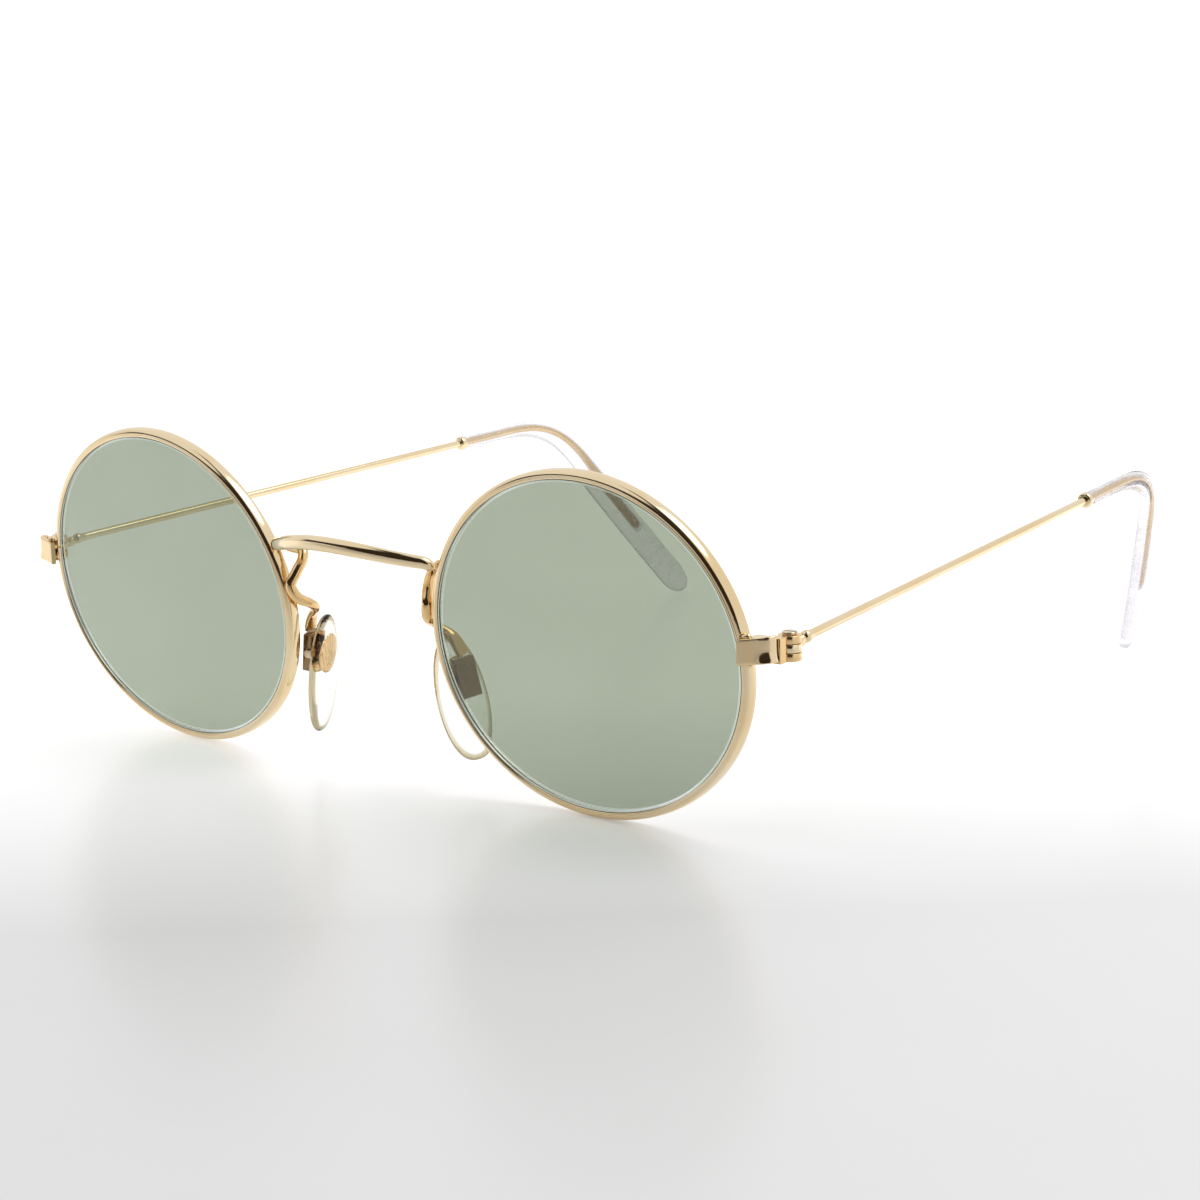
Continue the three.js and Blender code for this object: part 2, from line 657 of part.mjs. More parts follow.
// One half of the pair. The wearer's right half is the left one mirrored in X.
function addSide(side, mirror) {
  const half = new THREE.Group();
  half.scale.x = mirror;
  eyeglasses.add(half);

  const tilted = new THREE.Group();
  tilted.rotation.x = FRONT_TILT;
  tilted.position.z = FRONT_HEIGHT;
  half.add(tilted);
  const lensFrame = new THREE.Group();
  lensFrame.rotation.z = FRONT_WRAP;
  lensFrame.position.x = LENS_CENTRE_X;
  tilted.add(lensFrame);
  addMesh(lensFrame, `rim_${side}`, rimGeometry(), gold);
  addMesh(lensFrame, `lens_${side}`, lensGeometry(), greenGlass);

  addMesh(half, `endpiece_${side}`, strapGeometry(), gold);
  addMesh(half, `rim_lock_upper_${side}`, upperLockGeometry(), gold);
  addMesh(half, `rim_lock_lower_${side}`, lowerLockGeometry(), gold);
  addMesh(half, `rim_lock_screw_${side}`, lockScrewGeometry(), screwGold);
  addMesh(half, `hinge_front_${side}`, frontHingeGeometry(), gold);
  addMesh(half, `hinge_screw_${side}`, hingeScrewGeometry(), screwGold);
  addMesh(half, `hinge_temple_${side}`, templeHingeGeometry(), gold);
  addMesh(half, `temple_${side}`, templeWireGeometry(), gold);
  addMesh(half, `temple_collar_${side}`, collarGeometry(), gold);
  addMesh(half, `temple_tip_${side}`, tipGeometry(), clearPlastic);
  addMesh(half, `pad_arm_${side}`, padArmGeometry(), gold);

  const padFrame = new THREE.Group();
  padFrame.position.copy(PAD_BOX);
  padFrame.rotation.set(PAD_LEAN, -PAD_SPLAY, -PAD_TOE_IN, "ZYX");
  half.add(padFrame);
  addMesh(padFrame, `pad_box_${side}`, padBoxGeometry(), gold);
  addMesh(padFrame, `pad_pin_${side}`, padPinGeometry(), screwGold);
  addMesh(padFrame, `pad_insert_${side}`, padInsertGeometry(), gold);
  addMesh(padFrame, `nose_pad_${side}`, padGeometry(), clearPlastic);
}

addMesh(eyeglasses, "bridge", bridgeGeometry(), gold);
addSide("left", 1);
addSide("right", -1);

// The origin is the middle of the table print: half way from the bridge to the tips, at table height.
eyeglasses.updateMatrixWorld(true);
const bounds = new THREE.Box3().setFromObject(eyeglasses, true);
eyeglasses.position.set(0, -(bounds.min.y + bounds.max.y) / 2, -bounds.min.z);

export default eyeglasses;
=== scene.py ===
"""Looks of a pair of wire-rim eyeglasses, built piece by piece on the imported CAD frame.

Sizes are in millimetres in the design frame: X from the plane of symmetry towards the wearer's left,
Y from the front face backwards, Z up from the table. world_point() turns them into the frame's metres.
Each piece is made for the left side and mirrored for the right.
"""

import json
import math

import bmesh
import bpy
from mathutils import Euler, Matrix, Vector


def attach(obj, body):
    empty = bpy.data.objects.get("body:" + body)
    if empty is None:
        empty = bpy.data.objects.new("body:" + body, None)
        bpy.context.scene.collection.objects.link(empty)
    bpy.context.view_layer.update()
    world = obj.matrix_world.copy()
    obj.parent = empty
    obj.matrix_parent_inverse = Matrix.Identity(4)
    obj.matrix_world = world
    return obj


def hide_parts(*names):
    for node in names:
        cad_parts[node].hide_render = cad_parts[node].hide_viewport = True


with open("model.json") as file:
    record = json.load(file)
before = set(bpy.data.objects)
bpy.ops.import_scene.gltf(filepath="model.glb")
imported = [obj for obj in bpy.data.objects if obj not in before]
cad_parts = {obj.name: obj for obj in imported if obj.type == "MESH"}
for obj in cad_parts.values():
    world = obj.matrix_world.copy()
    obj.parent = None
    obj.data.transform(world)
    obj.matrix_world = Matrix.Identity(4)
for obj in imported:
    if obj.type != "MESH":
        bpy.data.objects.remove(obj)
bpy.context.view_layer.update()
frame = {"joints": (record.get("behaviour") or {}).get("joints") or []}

# ---------------------------------------------------------------- driving sizes
LENS_HALF_WIDTH = 22.5
LENS_HALF_HEIGHT = 20.2
LENS_TURN = math.radians(8)
LENS_TAPER = -0.015
LENS_CENTRE_X = 35.95
LENS_SAG = 0.0012
LENS_THICKNESS = 1.4
LENS_BEVEL = 0.28

FRONT_TILT = math.radians(7)
FRONT_WRAP = math.radians(1.5)
FRONT_HEIGHT = 21.06

RIM_WIDTH = 1.0
RIM_DEPTH = 1.7
RIM_GROOVE = 0.45
RIM_SPLIT = 0.3
RIM_EDGE = 0.65  # radius of the eyewire's outer front edge

WIRE_RADIUS = 0.54
HINGE = Vector((62.6, 4.8, 23.65))  # the temple hinge's axis at the middle barrel
BARREL_RADIUS = 1.35
BARREL_HEIGHT = 0.92
BARREL_PITCH = 1.0

PAD_PIN = Vector((13.6, 5.1, 14.35))
PAD_TOE_IN = math.radians(20)
PAD_SPLAY = math.radians(9)
PAD_LEAN = math.radians(8)
PAD_HALF_WIDTH = 3.7
PAD_HALF_HEIGHT = 8.0
PAD_HALF_THICKNESS = 0.9
PAD_NARROWING = 0.05
PAD_FULLNESS = 0.85  # power that makes the pad's outline fuller than an ellipse

MM = 0.001
joints = {joint["name"]: joint for joint in frame["joints"]}
DESIGN_ORIGIN = Vector(joints["temple_left_fold"]["pos_m"]) / MM - HINGE


def world_point(point, mirror):
    moved = (Vector(point) + DESIGN_ORIGIN) * MM
    return Vector((moved.x * mirror, moved.y, moved.z))


# ---------------------------------------------------------------- mesh helpers
SHARP_ANGLE = 35  # degrees; edges turned by more stay crisp


def mesh_piece(name, points, faces, mirror, sharp_angle=SHARP_ANGLE, place=None):
    """A smooth-shaded object from design-frame points, with edges sharper than the angle kept crisp.
    With place, a (turn, origin), the points are in that local frame and the mesh stays in it, so that
    a material can measure from the piece's own middle."""
    mesh = bpy.data.meshes.new(name)
    if place is None:
        mesh.from_pydata([world_point(p, mirror) for p in points], [], faces)
    else:
        mesh.from_pydata([Vector((p.x * mirror, p.y, p.z)) * MM for p in points], [], faces)
    shape = bmesh.new()
    shape.from_mesh(mesh)
    bmesh.ops.recalc_face_normals(shape, faces=shape.faces)
    shape.to_mesh(mesh)
    shape.free()
    mesh.shade_smooth()
    mesh.set_sharp_from_angle(angle=math.radians(sharp_angle))
    piece = bpy.data.objects.new(name, mesh)
    bpy.context.scene.collection.objects.link(piece)
    if place is not None:
        turn, origin = place
        flip = Matrix.Diagonal((mirror, 1, 1))
        mirrored_turn = (flip @ turn @ flip).to_4x4()
        piece.matrix_world = Matrix.Translation(world_point(origin, mirror)) @ mirrored_turn
    return piece


def skin(loops):
    """Points and faces of a capped surface through equal loops of points, one after another."""
    count = len(loops[0])
    points = [p for loop in loops for p in loop]
    faces = []
    for i in range(len(loops) - 1):
        a = i * count
        b = a + count
        for j in range(count):
            k = (j + 1) % count
            faces.append((a + j, a + k, b + k, b + j))
    faces.append(tuple(reversed(range(count))))
    faces.append(tuple(range((len(loops) - 1) * count, len(loops) * count)))
    return points, faces


def joined(*parts):
    """Several (points, faces) parts as one."""
    points, faces = [], []
    for part_points, part_faces in parts:
        base = len(points)
        points += part_points
        faces += [tuple(base + i for i in face) for face in part_faces]
    return points, faces


def moved(part, change):
    points, faces = part
    return [change(p) for p in points], faces


def rounded_rectangle(half_u, half_v, radius, steps=4, between=0):
    """Loop of (u, v) round a rectangle with round corners, with more points between the corners."""
    loop = []
    for corner, (su, sv) in enumerate([(1, 1), (-1, 1), (-1, -1), (1, -1)]):
        for i in range(steps + 1):
            angle = math.pi / 2 * (corner + i / steps)
            loop.append((su * (half_u - radius) + radius * math.cos(angle),
                         sv * (half_v - radius) + radius * math.sin(angle)))
        u, v = loop[-1]
        end_u, end_v = ((-u, v), (u, -v))[corner % 2]
        for i in range(1, between + 1):
            share = i / (between + 1)
            loop.append((u + (end_u - u) * share, v + (end_v - v) * share))
    return loop


def ellipse(half_u, half_v, sides=32, power=1.0):
    """Loop of (u, v) round an ellipse, or squarer where power is under 1."""
    loop = []
    for i in range(sides):
        angle = 2 * math.pi * i / sides
        c, s = math.cos(angle), math.sin(angle)
        loop.append((half_u * math.copysign(abs(c) ** power, c),
                     half_v * math.copysign(abs(s) ** power, s)))
    return loop


def rounded_block(low, high, radius=0.1):
    """A box with all its edges rounded."""
    low, high = Vector(low), Vector(high)
    centre, half = (low + high) / 2, (high - low) / 2
    loops = []
    steps = 3
    for end in (-1, 1):
        angles = [math.pi / 2 * i / steps for i in range(steps + 1)]
        if end > 0:
            angles.reverse()
        for angle in angles:
            inset = radius * (1 - math.sin(angle))
            z = centre.z + end * (half.z - radius + radius * math.cos(angle))
            ring = rounded_rectangle(half.x - inset, half.y - inset, max(radius - inset, 0.02))
            loops.append([Vector((centre.x + u, centre.y + v, z)) for u, v in ring])
    return skin(loops)


def lathe(profile, sides=40):
    """A solid turned round Z from (radius, height) points that run upwards."""
    loops = []
    for radius, height in profile:
        radius = max(radius, 0.001)
        loops.append([Vector((u, v, height)) for u, v in ellipse(radius, radius, sides)])
    return skin(loops)


def turned_post(radius, low, high, edge=0.08, sides=40):
    """An upright pin with eased edges."""
    profile = []
    steps = 3
    for i in range(steps + 1):
        angle = math.pi / 2 * i / steps
        profile.append((radius - edge * (1 - math.sin(angle)), low + edge * (1 - math.cos(angle))))
    profile += [(r, low + high - z) for r, z in reversed(profile)]
    return lathe(profile, sides)


def cut_away(piece, part, mirror):
    """Cuts a (points, faces) part out of a piece."""
    cutter = mesh_piece("cutter", *part, mirror)
    boolean = piece.modifiers.new("cut", "BOOLEAN")
    boolean.object = cutter
    boolean.solver = "EXACT"
    bpy.context.view_layer.update()
    evaluated = piece.evaluated_get(bpy.context.evaluated_depsgraph_get())
    mesh = bpy.data.meshes.new_from_object(evaluated)
    piece.modifiers.clear()
    piece.data = mesh
    mesh.shade_smooth()
    mesh.set_sharp_from_angle(angle=math.radians(SHARP_ANGLE))
    bpy.data.objects.remove(cutter)


class Path:
    """A curve sampled finely, read by the distance along it."""

    TANGENT_REACH = 0.3

    def __init__(self, curve, samples=400):
        self.points = [curve(i / samples) for i in range(samples + 1)]
        self.reach = [0.0]
        for a, b in zip(self.points, self.points[1:]):
            self.reach.append(self.reach[-1] + (b - a).length)
        self.length = self.reach[-1]

    def point(self, distance):
        if distance <= 0:
            return self.points[0] + (self.points[1] - self.points[0]).normalized() * distance
        if distance >= self.length:
            over = distance - self.length
            return self.points[-1] + (self.points[-1] - self.points[-2]).normalized() * over
        low, high = 0, len(self.reach) - 1
        while high - low > 1:
            middle = (low + high) // 2
            if self.reach[middle] <= distance:
                low = middle
            else:
                high = middle
        share = (distance - self.reach[low]) / (self.reach[high] - self.reach[low])
        return self.points[low].lerp(self.points[high], share)

    def tangent(self, distance):
        ahead = self.point(distance + self.TANGENT_REACH)
        behind = self.point(distance - self.TANGENT_REACH)
        return (ahead - behind).normalized()


DOME_STEPS = 6
DOME_TIP = 0.03  # share of the section that is left at a domed end


def swept_rod(path, section_at, stations, reference=Vector((1, 0, 0)), round_start=0, round_end=0):
    """A rod along a path. section_at(distance) gives a loop of (u, v): u lies along the reference
    direction and v along the third. Ends are closed, and domed over the given lengths."""
    distances = [path.length * i / stations for i in range(stations + 1)]
    scales = [1.0] * len(distances)
    dome = [math.pi / 2 * i / DOME_STEPS for i in range(DOME_STEPS)]
    if round_start:
        inner = [d for d in distances if d > round_start]
        distances = [round_start * (1 - math.cos(a)) for a in dome] + [round_start] + inner
        scales = [max(math.sin(a), DOME_TIP) for a in dome] + [1.0] * (len(inner) + 1)
    if round_end:
        limit = path.length - round_end
        kept = [(d, s) for d, s in zip(distances, scales) if d < limit]
        kept.append((limit, 1.0))
        for a in reversed(dome):
            kept.append((path.length - round_end * (1 - math.cos(a)), max(math.sin(a), DOME_TIP)))
        distances = [d for d, s in kept]
        scales = [s for d, s in kept]
    loops = []
    for distance, scale in zip(distances, scales):
        tangent = path.tangent(distance)
        across = (reference - tangent * reference.dot(tangent)).normalized()
        third = across.cross(tangent)
        centre = path.point(distance)
        loops.append([centre + across * u * scale + third * v * scale
                      for u, v in section_at(distance)])
    return skin(loops)


def smoothstep(value, low, high):
    share = min(max((value - low) / (high - low), 0.0), 1.0)
    return share * share * (3 - 2 * share)


def spline(points):
    """A smooth curve through points, as a function of a share from 0 to 1."""
    points = [Vector(p) for p in points]
    ghost = [2 * points[0] - points[1]] + points + [2 * points[-1] - points[-2]]

    def curve(t):
        place = min(t * (len(points) - 1), len(points) - 1 - 1e-9)
        i = int(place)
        u = place - i
        a, b, c, d = ghost[i:i + 4]
        return 0.5 * ((2 * b) + (c - a) * u + (2 * a - 5 * b + 4 * c - d) * u * u
                      + (3 * b - a - 3 * c + d) * u ** 3)

    return curve


# ---------------------------------------------------------------- materials
def new_material(name):
    material = bpy.data.materials.new(name)
    material.use_nodes = True
    tree = material.node_tree
    shader = tree.nodes["Principled BSDF"]
    return material, tree, shader


def noise_node(tree, scale, detail=3.0, stretch=(1, 1, 1)):
    """Noise in the object's own metres, scaled so that 1 / scale is the size of its grain."""
    place = tree.nodes.new("ShaderNodeTexCoord")
    mapping = tree.nodes.new("ShaderNodeMapping")
    mapping.inputs["Scale"].default_value = stretch
    noise = tree.nodes.new("ShaderNodeTexNoise")
    noise.inputs["Scale"].default_value = scale
    noise.inputs["Detail"].default_value = detail
    tree.links.new(place.outputs["Object"], mapping.inputs["Vector"])
    tree.links.new(mapping.outputs["Vector"], noise.inputs["Vector"])
    return noise


def spread(tree, source, low, high, to_low, to_high):
    """Maps a range of values to another."""
    node = tree.nodes.new("ShaderNodeMapRange")
    node.inputs["From Min"].default_value = low
    node.inputs["From Max"].default_value = high
    node.inputs["To Min"].default_value = to_low
    node.inputs["To Max"].default_value = to_high
    tree.links.new(source, node.inputs["Value"])
    return node.outputs["Result"]


def colour_between(tree, factor, first, second):
    mix = tree.nodes.new("ShaderNodeMix")
    mix.data_type = "RGBA"
    mix.inputs[6].default_value = (*first, 1)
    mix.inputs[7].default_value = (*second, 1)
    tree.links.new(factor, mix.inputs["Factor"])
    return mix.outputs[2]


def add_bump(tree, shader, height, strength, distance):
    bump = tree.nodes.new("ShaderNodeBump")
    bump.inputs["Strength"].default_value = strength
    bump.inputs["Distance"].default_value = distance
    tree.links.new(height, bump.inputs["Height"])
    tree.links.new(bump.outputs["Normal"], shader.inputs["Normal"])


def object_axes(tree):
    """The X, Y and Z of a point in the object's own metres, as sockets."""
    place = tree.nodes.new("ShaderNodeTexCoord")
    split = tree.nodes.new("ShaderNodeSeparateXYZ")
    tree.links.new(place.outputs["Object"], split.inputs["Vector"])
    return split.outputs


def gold_material(name, pale, warm, roughness, grain):
    """Plated metal: colour drifts between two golds, polish varies and hairlines run through it."""
    material, tree, shader = new_material(name)
    shader.inputs["Metallic"].default_value = 1.0
    drift = noise_node(tree, 80)
    tint = spread(tree, drift.outputs["Fac"], 0.35, 0.65, 0, 1)
    tree.links.new(colour_between(tree, tint, pale, warm), shader.inputs["Base Color"])
    wear = noise_node(tree, 900, 5.0)
    tree.links.new(spread(tree, wear.outputs["Fac"], 0.3, 0.7, roughness * 0.75, roughness * 1.5),
                   shader.inputs["Roughness"])
    hairlines = noise_node(tree, 1500, 2.0, stretch=(0.25, 1.0, 3.0))
    add_bump(tree, shader, hairlines.outputs["Fac"], grain, 0.02 * MM)
    return material


def let_light_through(tree, shader, tint):
    """Shadow rays pass the clear shader, tinted, so that what lies behind it is lit."""
    clear = tree.nodes.new("ShaderNodeBsdfTransparent")
    clear.inputs["Color"].default_value = (*tint, 1)
    path = tree.nodes.new("ShaderNodeLightPath")
    mix = tree.nodes.new("ShaderNodeMixShader")
    tree.links.new(path.outputs["Is Shadow Ray"], mix.inputs["Fac"])
    tree.links.new(shader.outputs["BSDF"], mix.inputs[1])
    tree.links.new(clear.outputs["BSDF"], mix.inputs[2])
    tree.links.new(mix.outputs["Shader"], tree.nodes["Material Output"].inputs["Surface"])


def value_node(tree, operation, first, second=None, third=None):
    """The result of a sum on up to three numbers or sockets."""
    node = tree.nodes.new("ShaderNodeMath")
    node.operation = operation
    for socket, value in zip(node.inputs, (first, second, third)):
        if value is None:
            continue
        if isinstance(value, (int, float)):
            socket.default_value = value
        else:
            tree.links.new(value, socket)
    return node.outputs[0]


def oval_reach(tree, along, half_along, half_upright, taper):
    """0 at the middle of an oval in the piece's own frame and 1 at its edge. along names the axis of
    its width; its height is along Z, and taper is the width's growth towards the top."""
    axes = object_axes(tree)
    up = value_node(tree, "MULTIPLY", axes["Z"], 1 / (half_upright * MM))
    width = value_node(tree, "MULTIPLY_ADD", up, taper * half_along * MM, half_along * MM)
    out = value_node(tree, "DIVIDE", axes[along], width)
    square = value_node(tree, "MULTIPLY", up, up)
    return value_node(tree, "SQRT", value_node(tree, "MULTIPLY_ADD", out, out, square))


def tinted_towards_edge(tree, colour, edge, edge_colour):
    """A colour socket that turns to edge_colour as edge goes from 0 to 1."""
    mix = tree.nodes.new("ShaderNodeMix")
    mix.data_type = "RGBA"
    tree.links.new(edge, mix.inputs["Factor"])
    tree.links.new(colour, mix.inputs[6])
    mix.inputs[7].default_value = (*edge_colour, 1)
    return mix.outputs[2]


def lens_material():
    """Grey-green mineral glass, hardly mottled and polished, with a rougher ground edge and a painted
    pale glint of floor light on its bevel, strongest below.
    """
    material, tree, shader = new_material("green_lens_glass")
    shader.inputs["Transmission Weight"].default_value = 1.0
    shader.inputs["IOR"].default_value = 1.5
    drift = noise_node(tree, 60, 1.0)
    tint = spread(tree, drift.outputs["Fac"], 0.3, 0.7, 0, 1)
    glass = colour_between(tree, tint, (0.300, 0.343, 0.262), (0.312, 0.355, 0.274))
    reach = oval_reach(tree, "X", LENS_HALF_WIDTH, LENS_HALF_HEIGHT, LENS_TAPER)
    # painted glint: towards the edge the glass is tinted pale as if its bevel caught light from the
    # floor; the same mask makes the ground edge rougher
    ground_edge_and_glint = spread(tree, reach, 0.982, 0.988, 0, 1)
    # the painted glint is strongest at the bottom, nearest the floor
    low = spread(tree, object_axes(tree)["Z"], 5 * MM, -12 * MM, 0.35, 1)
    ground_edge_and_glint = value_node(tree, "MULTIPLY", ground_edge_and_glint, low)
    tree.links.new(tinted_towards_edge(tree, glass, ground_edge_and_glint, (0.86, 0.93, 0.92)),
                   shader.inputs["Base Color"])
    smears = noise_node(tree, 350, 4.0)
    polish = spread(tree, smears.outputs["Fac"], 0.45, 0.75, 0.0, 0.02)
    tree.links.new(value_node(tree, "MULTIPLY_ADD", ground_edge_and_glint, 0.4, polish), shader.inputs["Roughness"])
    let_light_through(tree, shader, (0.56, 0.60, 0.53))
    return material


def clear_plastic(name, tint, roughness):
    """Clear moulded plastic with the faint waviness of moulding."""
    material, tree, shader = new_material(name)
    shader.inputs["Transmission Weight"].default_value = 1.0
    drift = noise_node(tree, 250, 2.0)
    share = spread(tree, drift.outputs["Fac"], 0.3, 0.7, 0, 1)
    shade = tuple(c * 0.97 for c in tint)
    colour = colour_between(tree, share, tint, shade)
    haze = noise_node(tree, 700, 4.0)
    tree.links.new(spread(tree, haze.outputs["Fac"], 0.3, 0.7, roughness * 0.4, roughness * 1.6),
                   shader.inputs["Roughness"])
    waves = noise_node(tree, 500, 1.0)
    add_bump(tree, shader, waves.outputs["Fac"], 0.15, 0.03 * MM)
    let_light_through(tree, shader, (0.93, 0.93, 0.93))
    return material, tree, shader, colour


def tip_material():
    """Clear tip plastic, greyer down the thick paddle than along the sleeve."""
    material, tree, shader, colour = clear_plastic("clear_tip_plastic", (0.90, 0.885, 0.90), 0.2)
    shader.inputs["IOR"].default_value = 1.12
    paddle = spread(tree, object_axes(tree)["Z"], 28 * MM, 14 * MM, 0, 1)
    tree.links.new(tinted_towards_edge(tree, colour, paddle, (0.74, 0.72, 0.755)),
                   shader.inputs["Base Color"])
    return material


def pad_material():
    """Clear pad plastic, tinted olive towards its edge."""
    material, tree, shader, colour = clear_plastic("clear_pad_plastic", (0.95, 0.96, 0.93), 0.05)
    shader.inputs["IOR"].default_value = 1.28
    reach = oval_reach(tree, "Y", PAD_HALF_WIDTH, PAD_HALF_HEIGHT, -PAD_NARROWING)
    edge = spread(tree, reach, 0.88, 0.94, 0, 1)
    tree.links.new(tinted_towards_edge(tree, colour, edge, (0.46, 0.40, 0.26)),
                   shader.inputs["Base Color"])
    return material


GOLD = gold_material("polished_pale_gold", (0.83, 0.69, 0.47), (0.79, 0.61, 0.36), 0.11, 0.08)
WARM_GOLD = gold_material("warm_gold", (0.80, 0.57, 0.30), (0.74, 0.50, 0.24), 0.13, 0.1)
# a darker amber gold, used for the pad boxes
DARK_GOLD = gold_material("dark_amber_gold", (0.26, 0.18, 0.10), (0.34, 0.22, 0.11), 0.2, 0.2)
SCREW_GOLD = gold_material("satin_screw_gold", (0.74, 0.62, 0.46), (0.68, 0.55, 0.39), 0.24, 0.2)
GREEN_LENS = lens_material()
CLEAR_TIP = tip_material()
CLEAR_PAD = pad_material()


# ---------------------------------------------------------------- putting pieces on the frame
SIDES = {"left": 1, "right": -1}
FEW_FACES = 2500  # pieces with fewer have large flat faces that smooth shading would make look round


def settle(piece, material, body, slot, *nodes):
    """Give a piece its material and the body it moves with, and hide the CAD nodes it replaces. slot is
    not used.
    """
    piece.data.materials.clear()
    piece.data.materials.append(material)
    if len(piece.data.polygons) < FEW_FACES:
        flat = piece.modifiers.new("flat faces stay flat", "WEIGHTED_NORMAL")
        flat.keep_sharp = True
    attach(piece, body)
    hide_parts(*nodes)


def add_pair(name, part, material, slot, body="front", cutters=(), sharp_angle=SHARP_ANGLE,
             place=None):
    """The same part on both sides. body may name a side with {side}."""
    for side, mirror in SIDES.items():
        piece = mesh_piece(f"fine_{name}_{side}", *part, mirror, sharp_angle, place)
        for cutter in cutters:
            cut_away(piece, cutter, mirror)
        settle(piece, material, body.format(side=side), slot, f"{name}_{side}")


# ---------------------------------------------------------------- rims and lenses
def outline_point(angle, grow=0.0):
    """A point of the lens oval, moved outwards by grow. X is along the oval's long axis."""

    def along(a):
        return Vector((LENS_HALF_WIDTH * math.cos(a) * (1 + LENS_TAPER * math.sin(a)),
                       LENS_HALF_HEIGHT * math.sin(a)))

    step = 1e-3
    tangent = (along(angle + step) - along(angle - step)).normalized()
    return along(angle) + Vector((tangent.y, -tangent.x)) * grow


def sag(x, z):
    """How far the lens surface falls back at a point of the oval."""
    return LENS_SAG * (x * x + z * z)


FRONT_TURN = Euler((FRONT_TILT, 0, 0)).to_matrix()
LENS_PLACE = (
    FRONT_TURN @ Euler((0, 0, FRONT_WRAP)).to_matrix() @ Euler((0, -LENS_TURN, 0)).to_matrix(),
    FRONT_TURN @ Vector((LENS_CENTRE_X, 0, 0)) + Vector((0, 0, FRONT_HEIGHT)),
)


def rim_section():
    """(depth, outwards) loop of the eyewire: softly crowned front, round outer edge, V groove inside."""
    edge, corner, crown, lip = RIM_EDGE, 0.12, 0.05, 0.2
    steps = 6
    loop = []
    for i in range(steps + 1):
        share = i / steps
        v = lip + (RIM_WIDTH - edge - lip) * share
        loop.append((-crown * (1 - (2 * share - 1) ** 2), v))
    for i in range(1, steps + 1):
        angle = math.pi / 2 * i / steps
        loop.append((edge * (1 - math.cos(angle)), RIM_WIDTH - edge * (1 - math.sin(angle))))
    for i in range(1, steps):
        share = i / steps
        depth = edge + (RIM_DEPTH - edge - corner) * share
        loop.append((depth, RIM_WIDTH + crown * (1 - (2 * share - 1) ** 2)))
    for i in range(steps + 1):
        angle = math.pi / 2 * i / steps
        loop.append((RIM_DEPTH - corner * (1 - math.sin(angle)),
                     RIM_WIDTH - corner * (1 - math.cos(angle))))
    middle = RIM_DEPTH / 2
    loop.append((RIM_DEPTH, corner))
    loop.append((RIM_DEPTH - corner, 0))
    loop.append((middle + RIM_GROOVE, 0))
    loop.append((middle, RIM_GROOVE))
    loop.append((middle - RIM_GROOVE, 0))
    for i in range(steps):
        angle = math.pi / 2 * i / steps
        loop.append((lip * (1 - math.sin(angle)), lip * (1 - math.cos(angle))))
    return loop


def rim_part(stations=240):
    """The eyewire: its section swept round the lens oval, open at the split."""
    half = RIM_SPLIT / 2 / LENS_HALF_WIDTH
    section = rim_section()
    loops = []
    for i in range(stations + 1):
        angle = half + (2 * math.pi - 2 * half) * i / stations
        foot = outline_point(angle)
        out = (outline_point(angle, 1.0) - foot).normalized()
        loop = []
        for depth, outwards in section:
            flat = foot + out * outwards
            loop.append(Vector((flat.x, sag(foot.x, foot.y) + depth, flat.y)))
        loops.append(loop)
    return skin(loops)


MIDDLE_SHARE = 0.002  # the smallest ring at the middle of a lens face


def lens_part(sides=180, rings=16):
    """A thin curved lens with a bevel that sits in the rim's groove."""
    front = RIM_DEPTH / 2 - LENS_THICKNESS / 2
    back = RIM_DEPTH / 2 + LENS_THICKNESS / 2
    edge = 1 - 0.004
    stations = [(max(i / rings, MIDDLE_SHARE) * edge, front, 0) for i in range(rings + 1)]
    stations.append((edge, RIM_DEPTH / 2 - LENS_BEVEL, 0))
    stations.append((1, RIM_DEPTH / 2, LENS_BEVEL))
    stations.append((edge, RIM_DEPTH / 2 + LENS_BEVEL, 0))
    stations += [(max(i / rings, MIDDLE_SHARE) * edge, back, 0) for i in reversed(range(rings + 1))]
    loops = []
    for share, depth, grow in stations:
        loop = []
        for i in range(sides):
            flat = outline_point(2 * math.pi * i / sides, grow) * share
            loop.append(Vector((flat.x, depth + sag(flat.x, flat.y), flat.y)))
        loops.append(loop)
    return skin(loops)


# ---------------------------------------------------------------- bridge
BRIDGE_HALF_SPAN = 13.75
BRIDGE_FORWARD = 5.9  # how far the middle stands in front of the ends
BRIDGE_RISE = 2.2  # how far the middle stands above the ends
BRIDGE_END = Vector((14.0, 0.05, 29.0))  # where the curve meets the rim
BRIDGE_DROP = 0.45  # the ends turn down where they are soldered to the rims
BRIDGE_END_RADIUS = 0.68
BRIDGE_DEEPER = 0.1  # added to the half depth at the middle
BRIDGE_HIGHER = 0.26  # added to the half height at the middle


def bridge_point(t):
    """The middle line of the bridge, from the right rim (t = 0) to the left (t = 1)."""
    x = BRIDGE_HALF_SPAN * (2 * t - 1)
    share = (x / BRIDGE_END.x) ** 2
    back = BRIDGE_FORWARD * (0.88 * share + 0.12 * share * share)
    fall = BRIDGE_RISE * (1.35 * share - 0.35 * share * share)
    fall += BRIDGE_DROP * smoothstep(share, 0.8, 1)
    return Vector((x, BRIDGE_END.y - BRIDGE_FORWARD + back, BRIDGE_END.z + BRIDGE_RISE - fall))


def bridge_part():
    path = Path(bridge_point)

    def section(distance):
        fullness = max(math.sin(math.pi * min(max(distance / path.length, 0), 1)), 0) ** 0.5
        half_depth = BRIDGE_END_RADIUS + BRIDGE_DEEPER * fullness
        half_height = BRIDGE_END_RADIUS + BRIDGE_HIGHER * fullness
        return ellipse(half_depth, half_height, 40, 0.9)

    reference = Vector((0, 1, 0))
    return swept_rod(path, section, 120, reference, round_start=1.2, round_end=1.2)


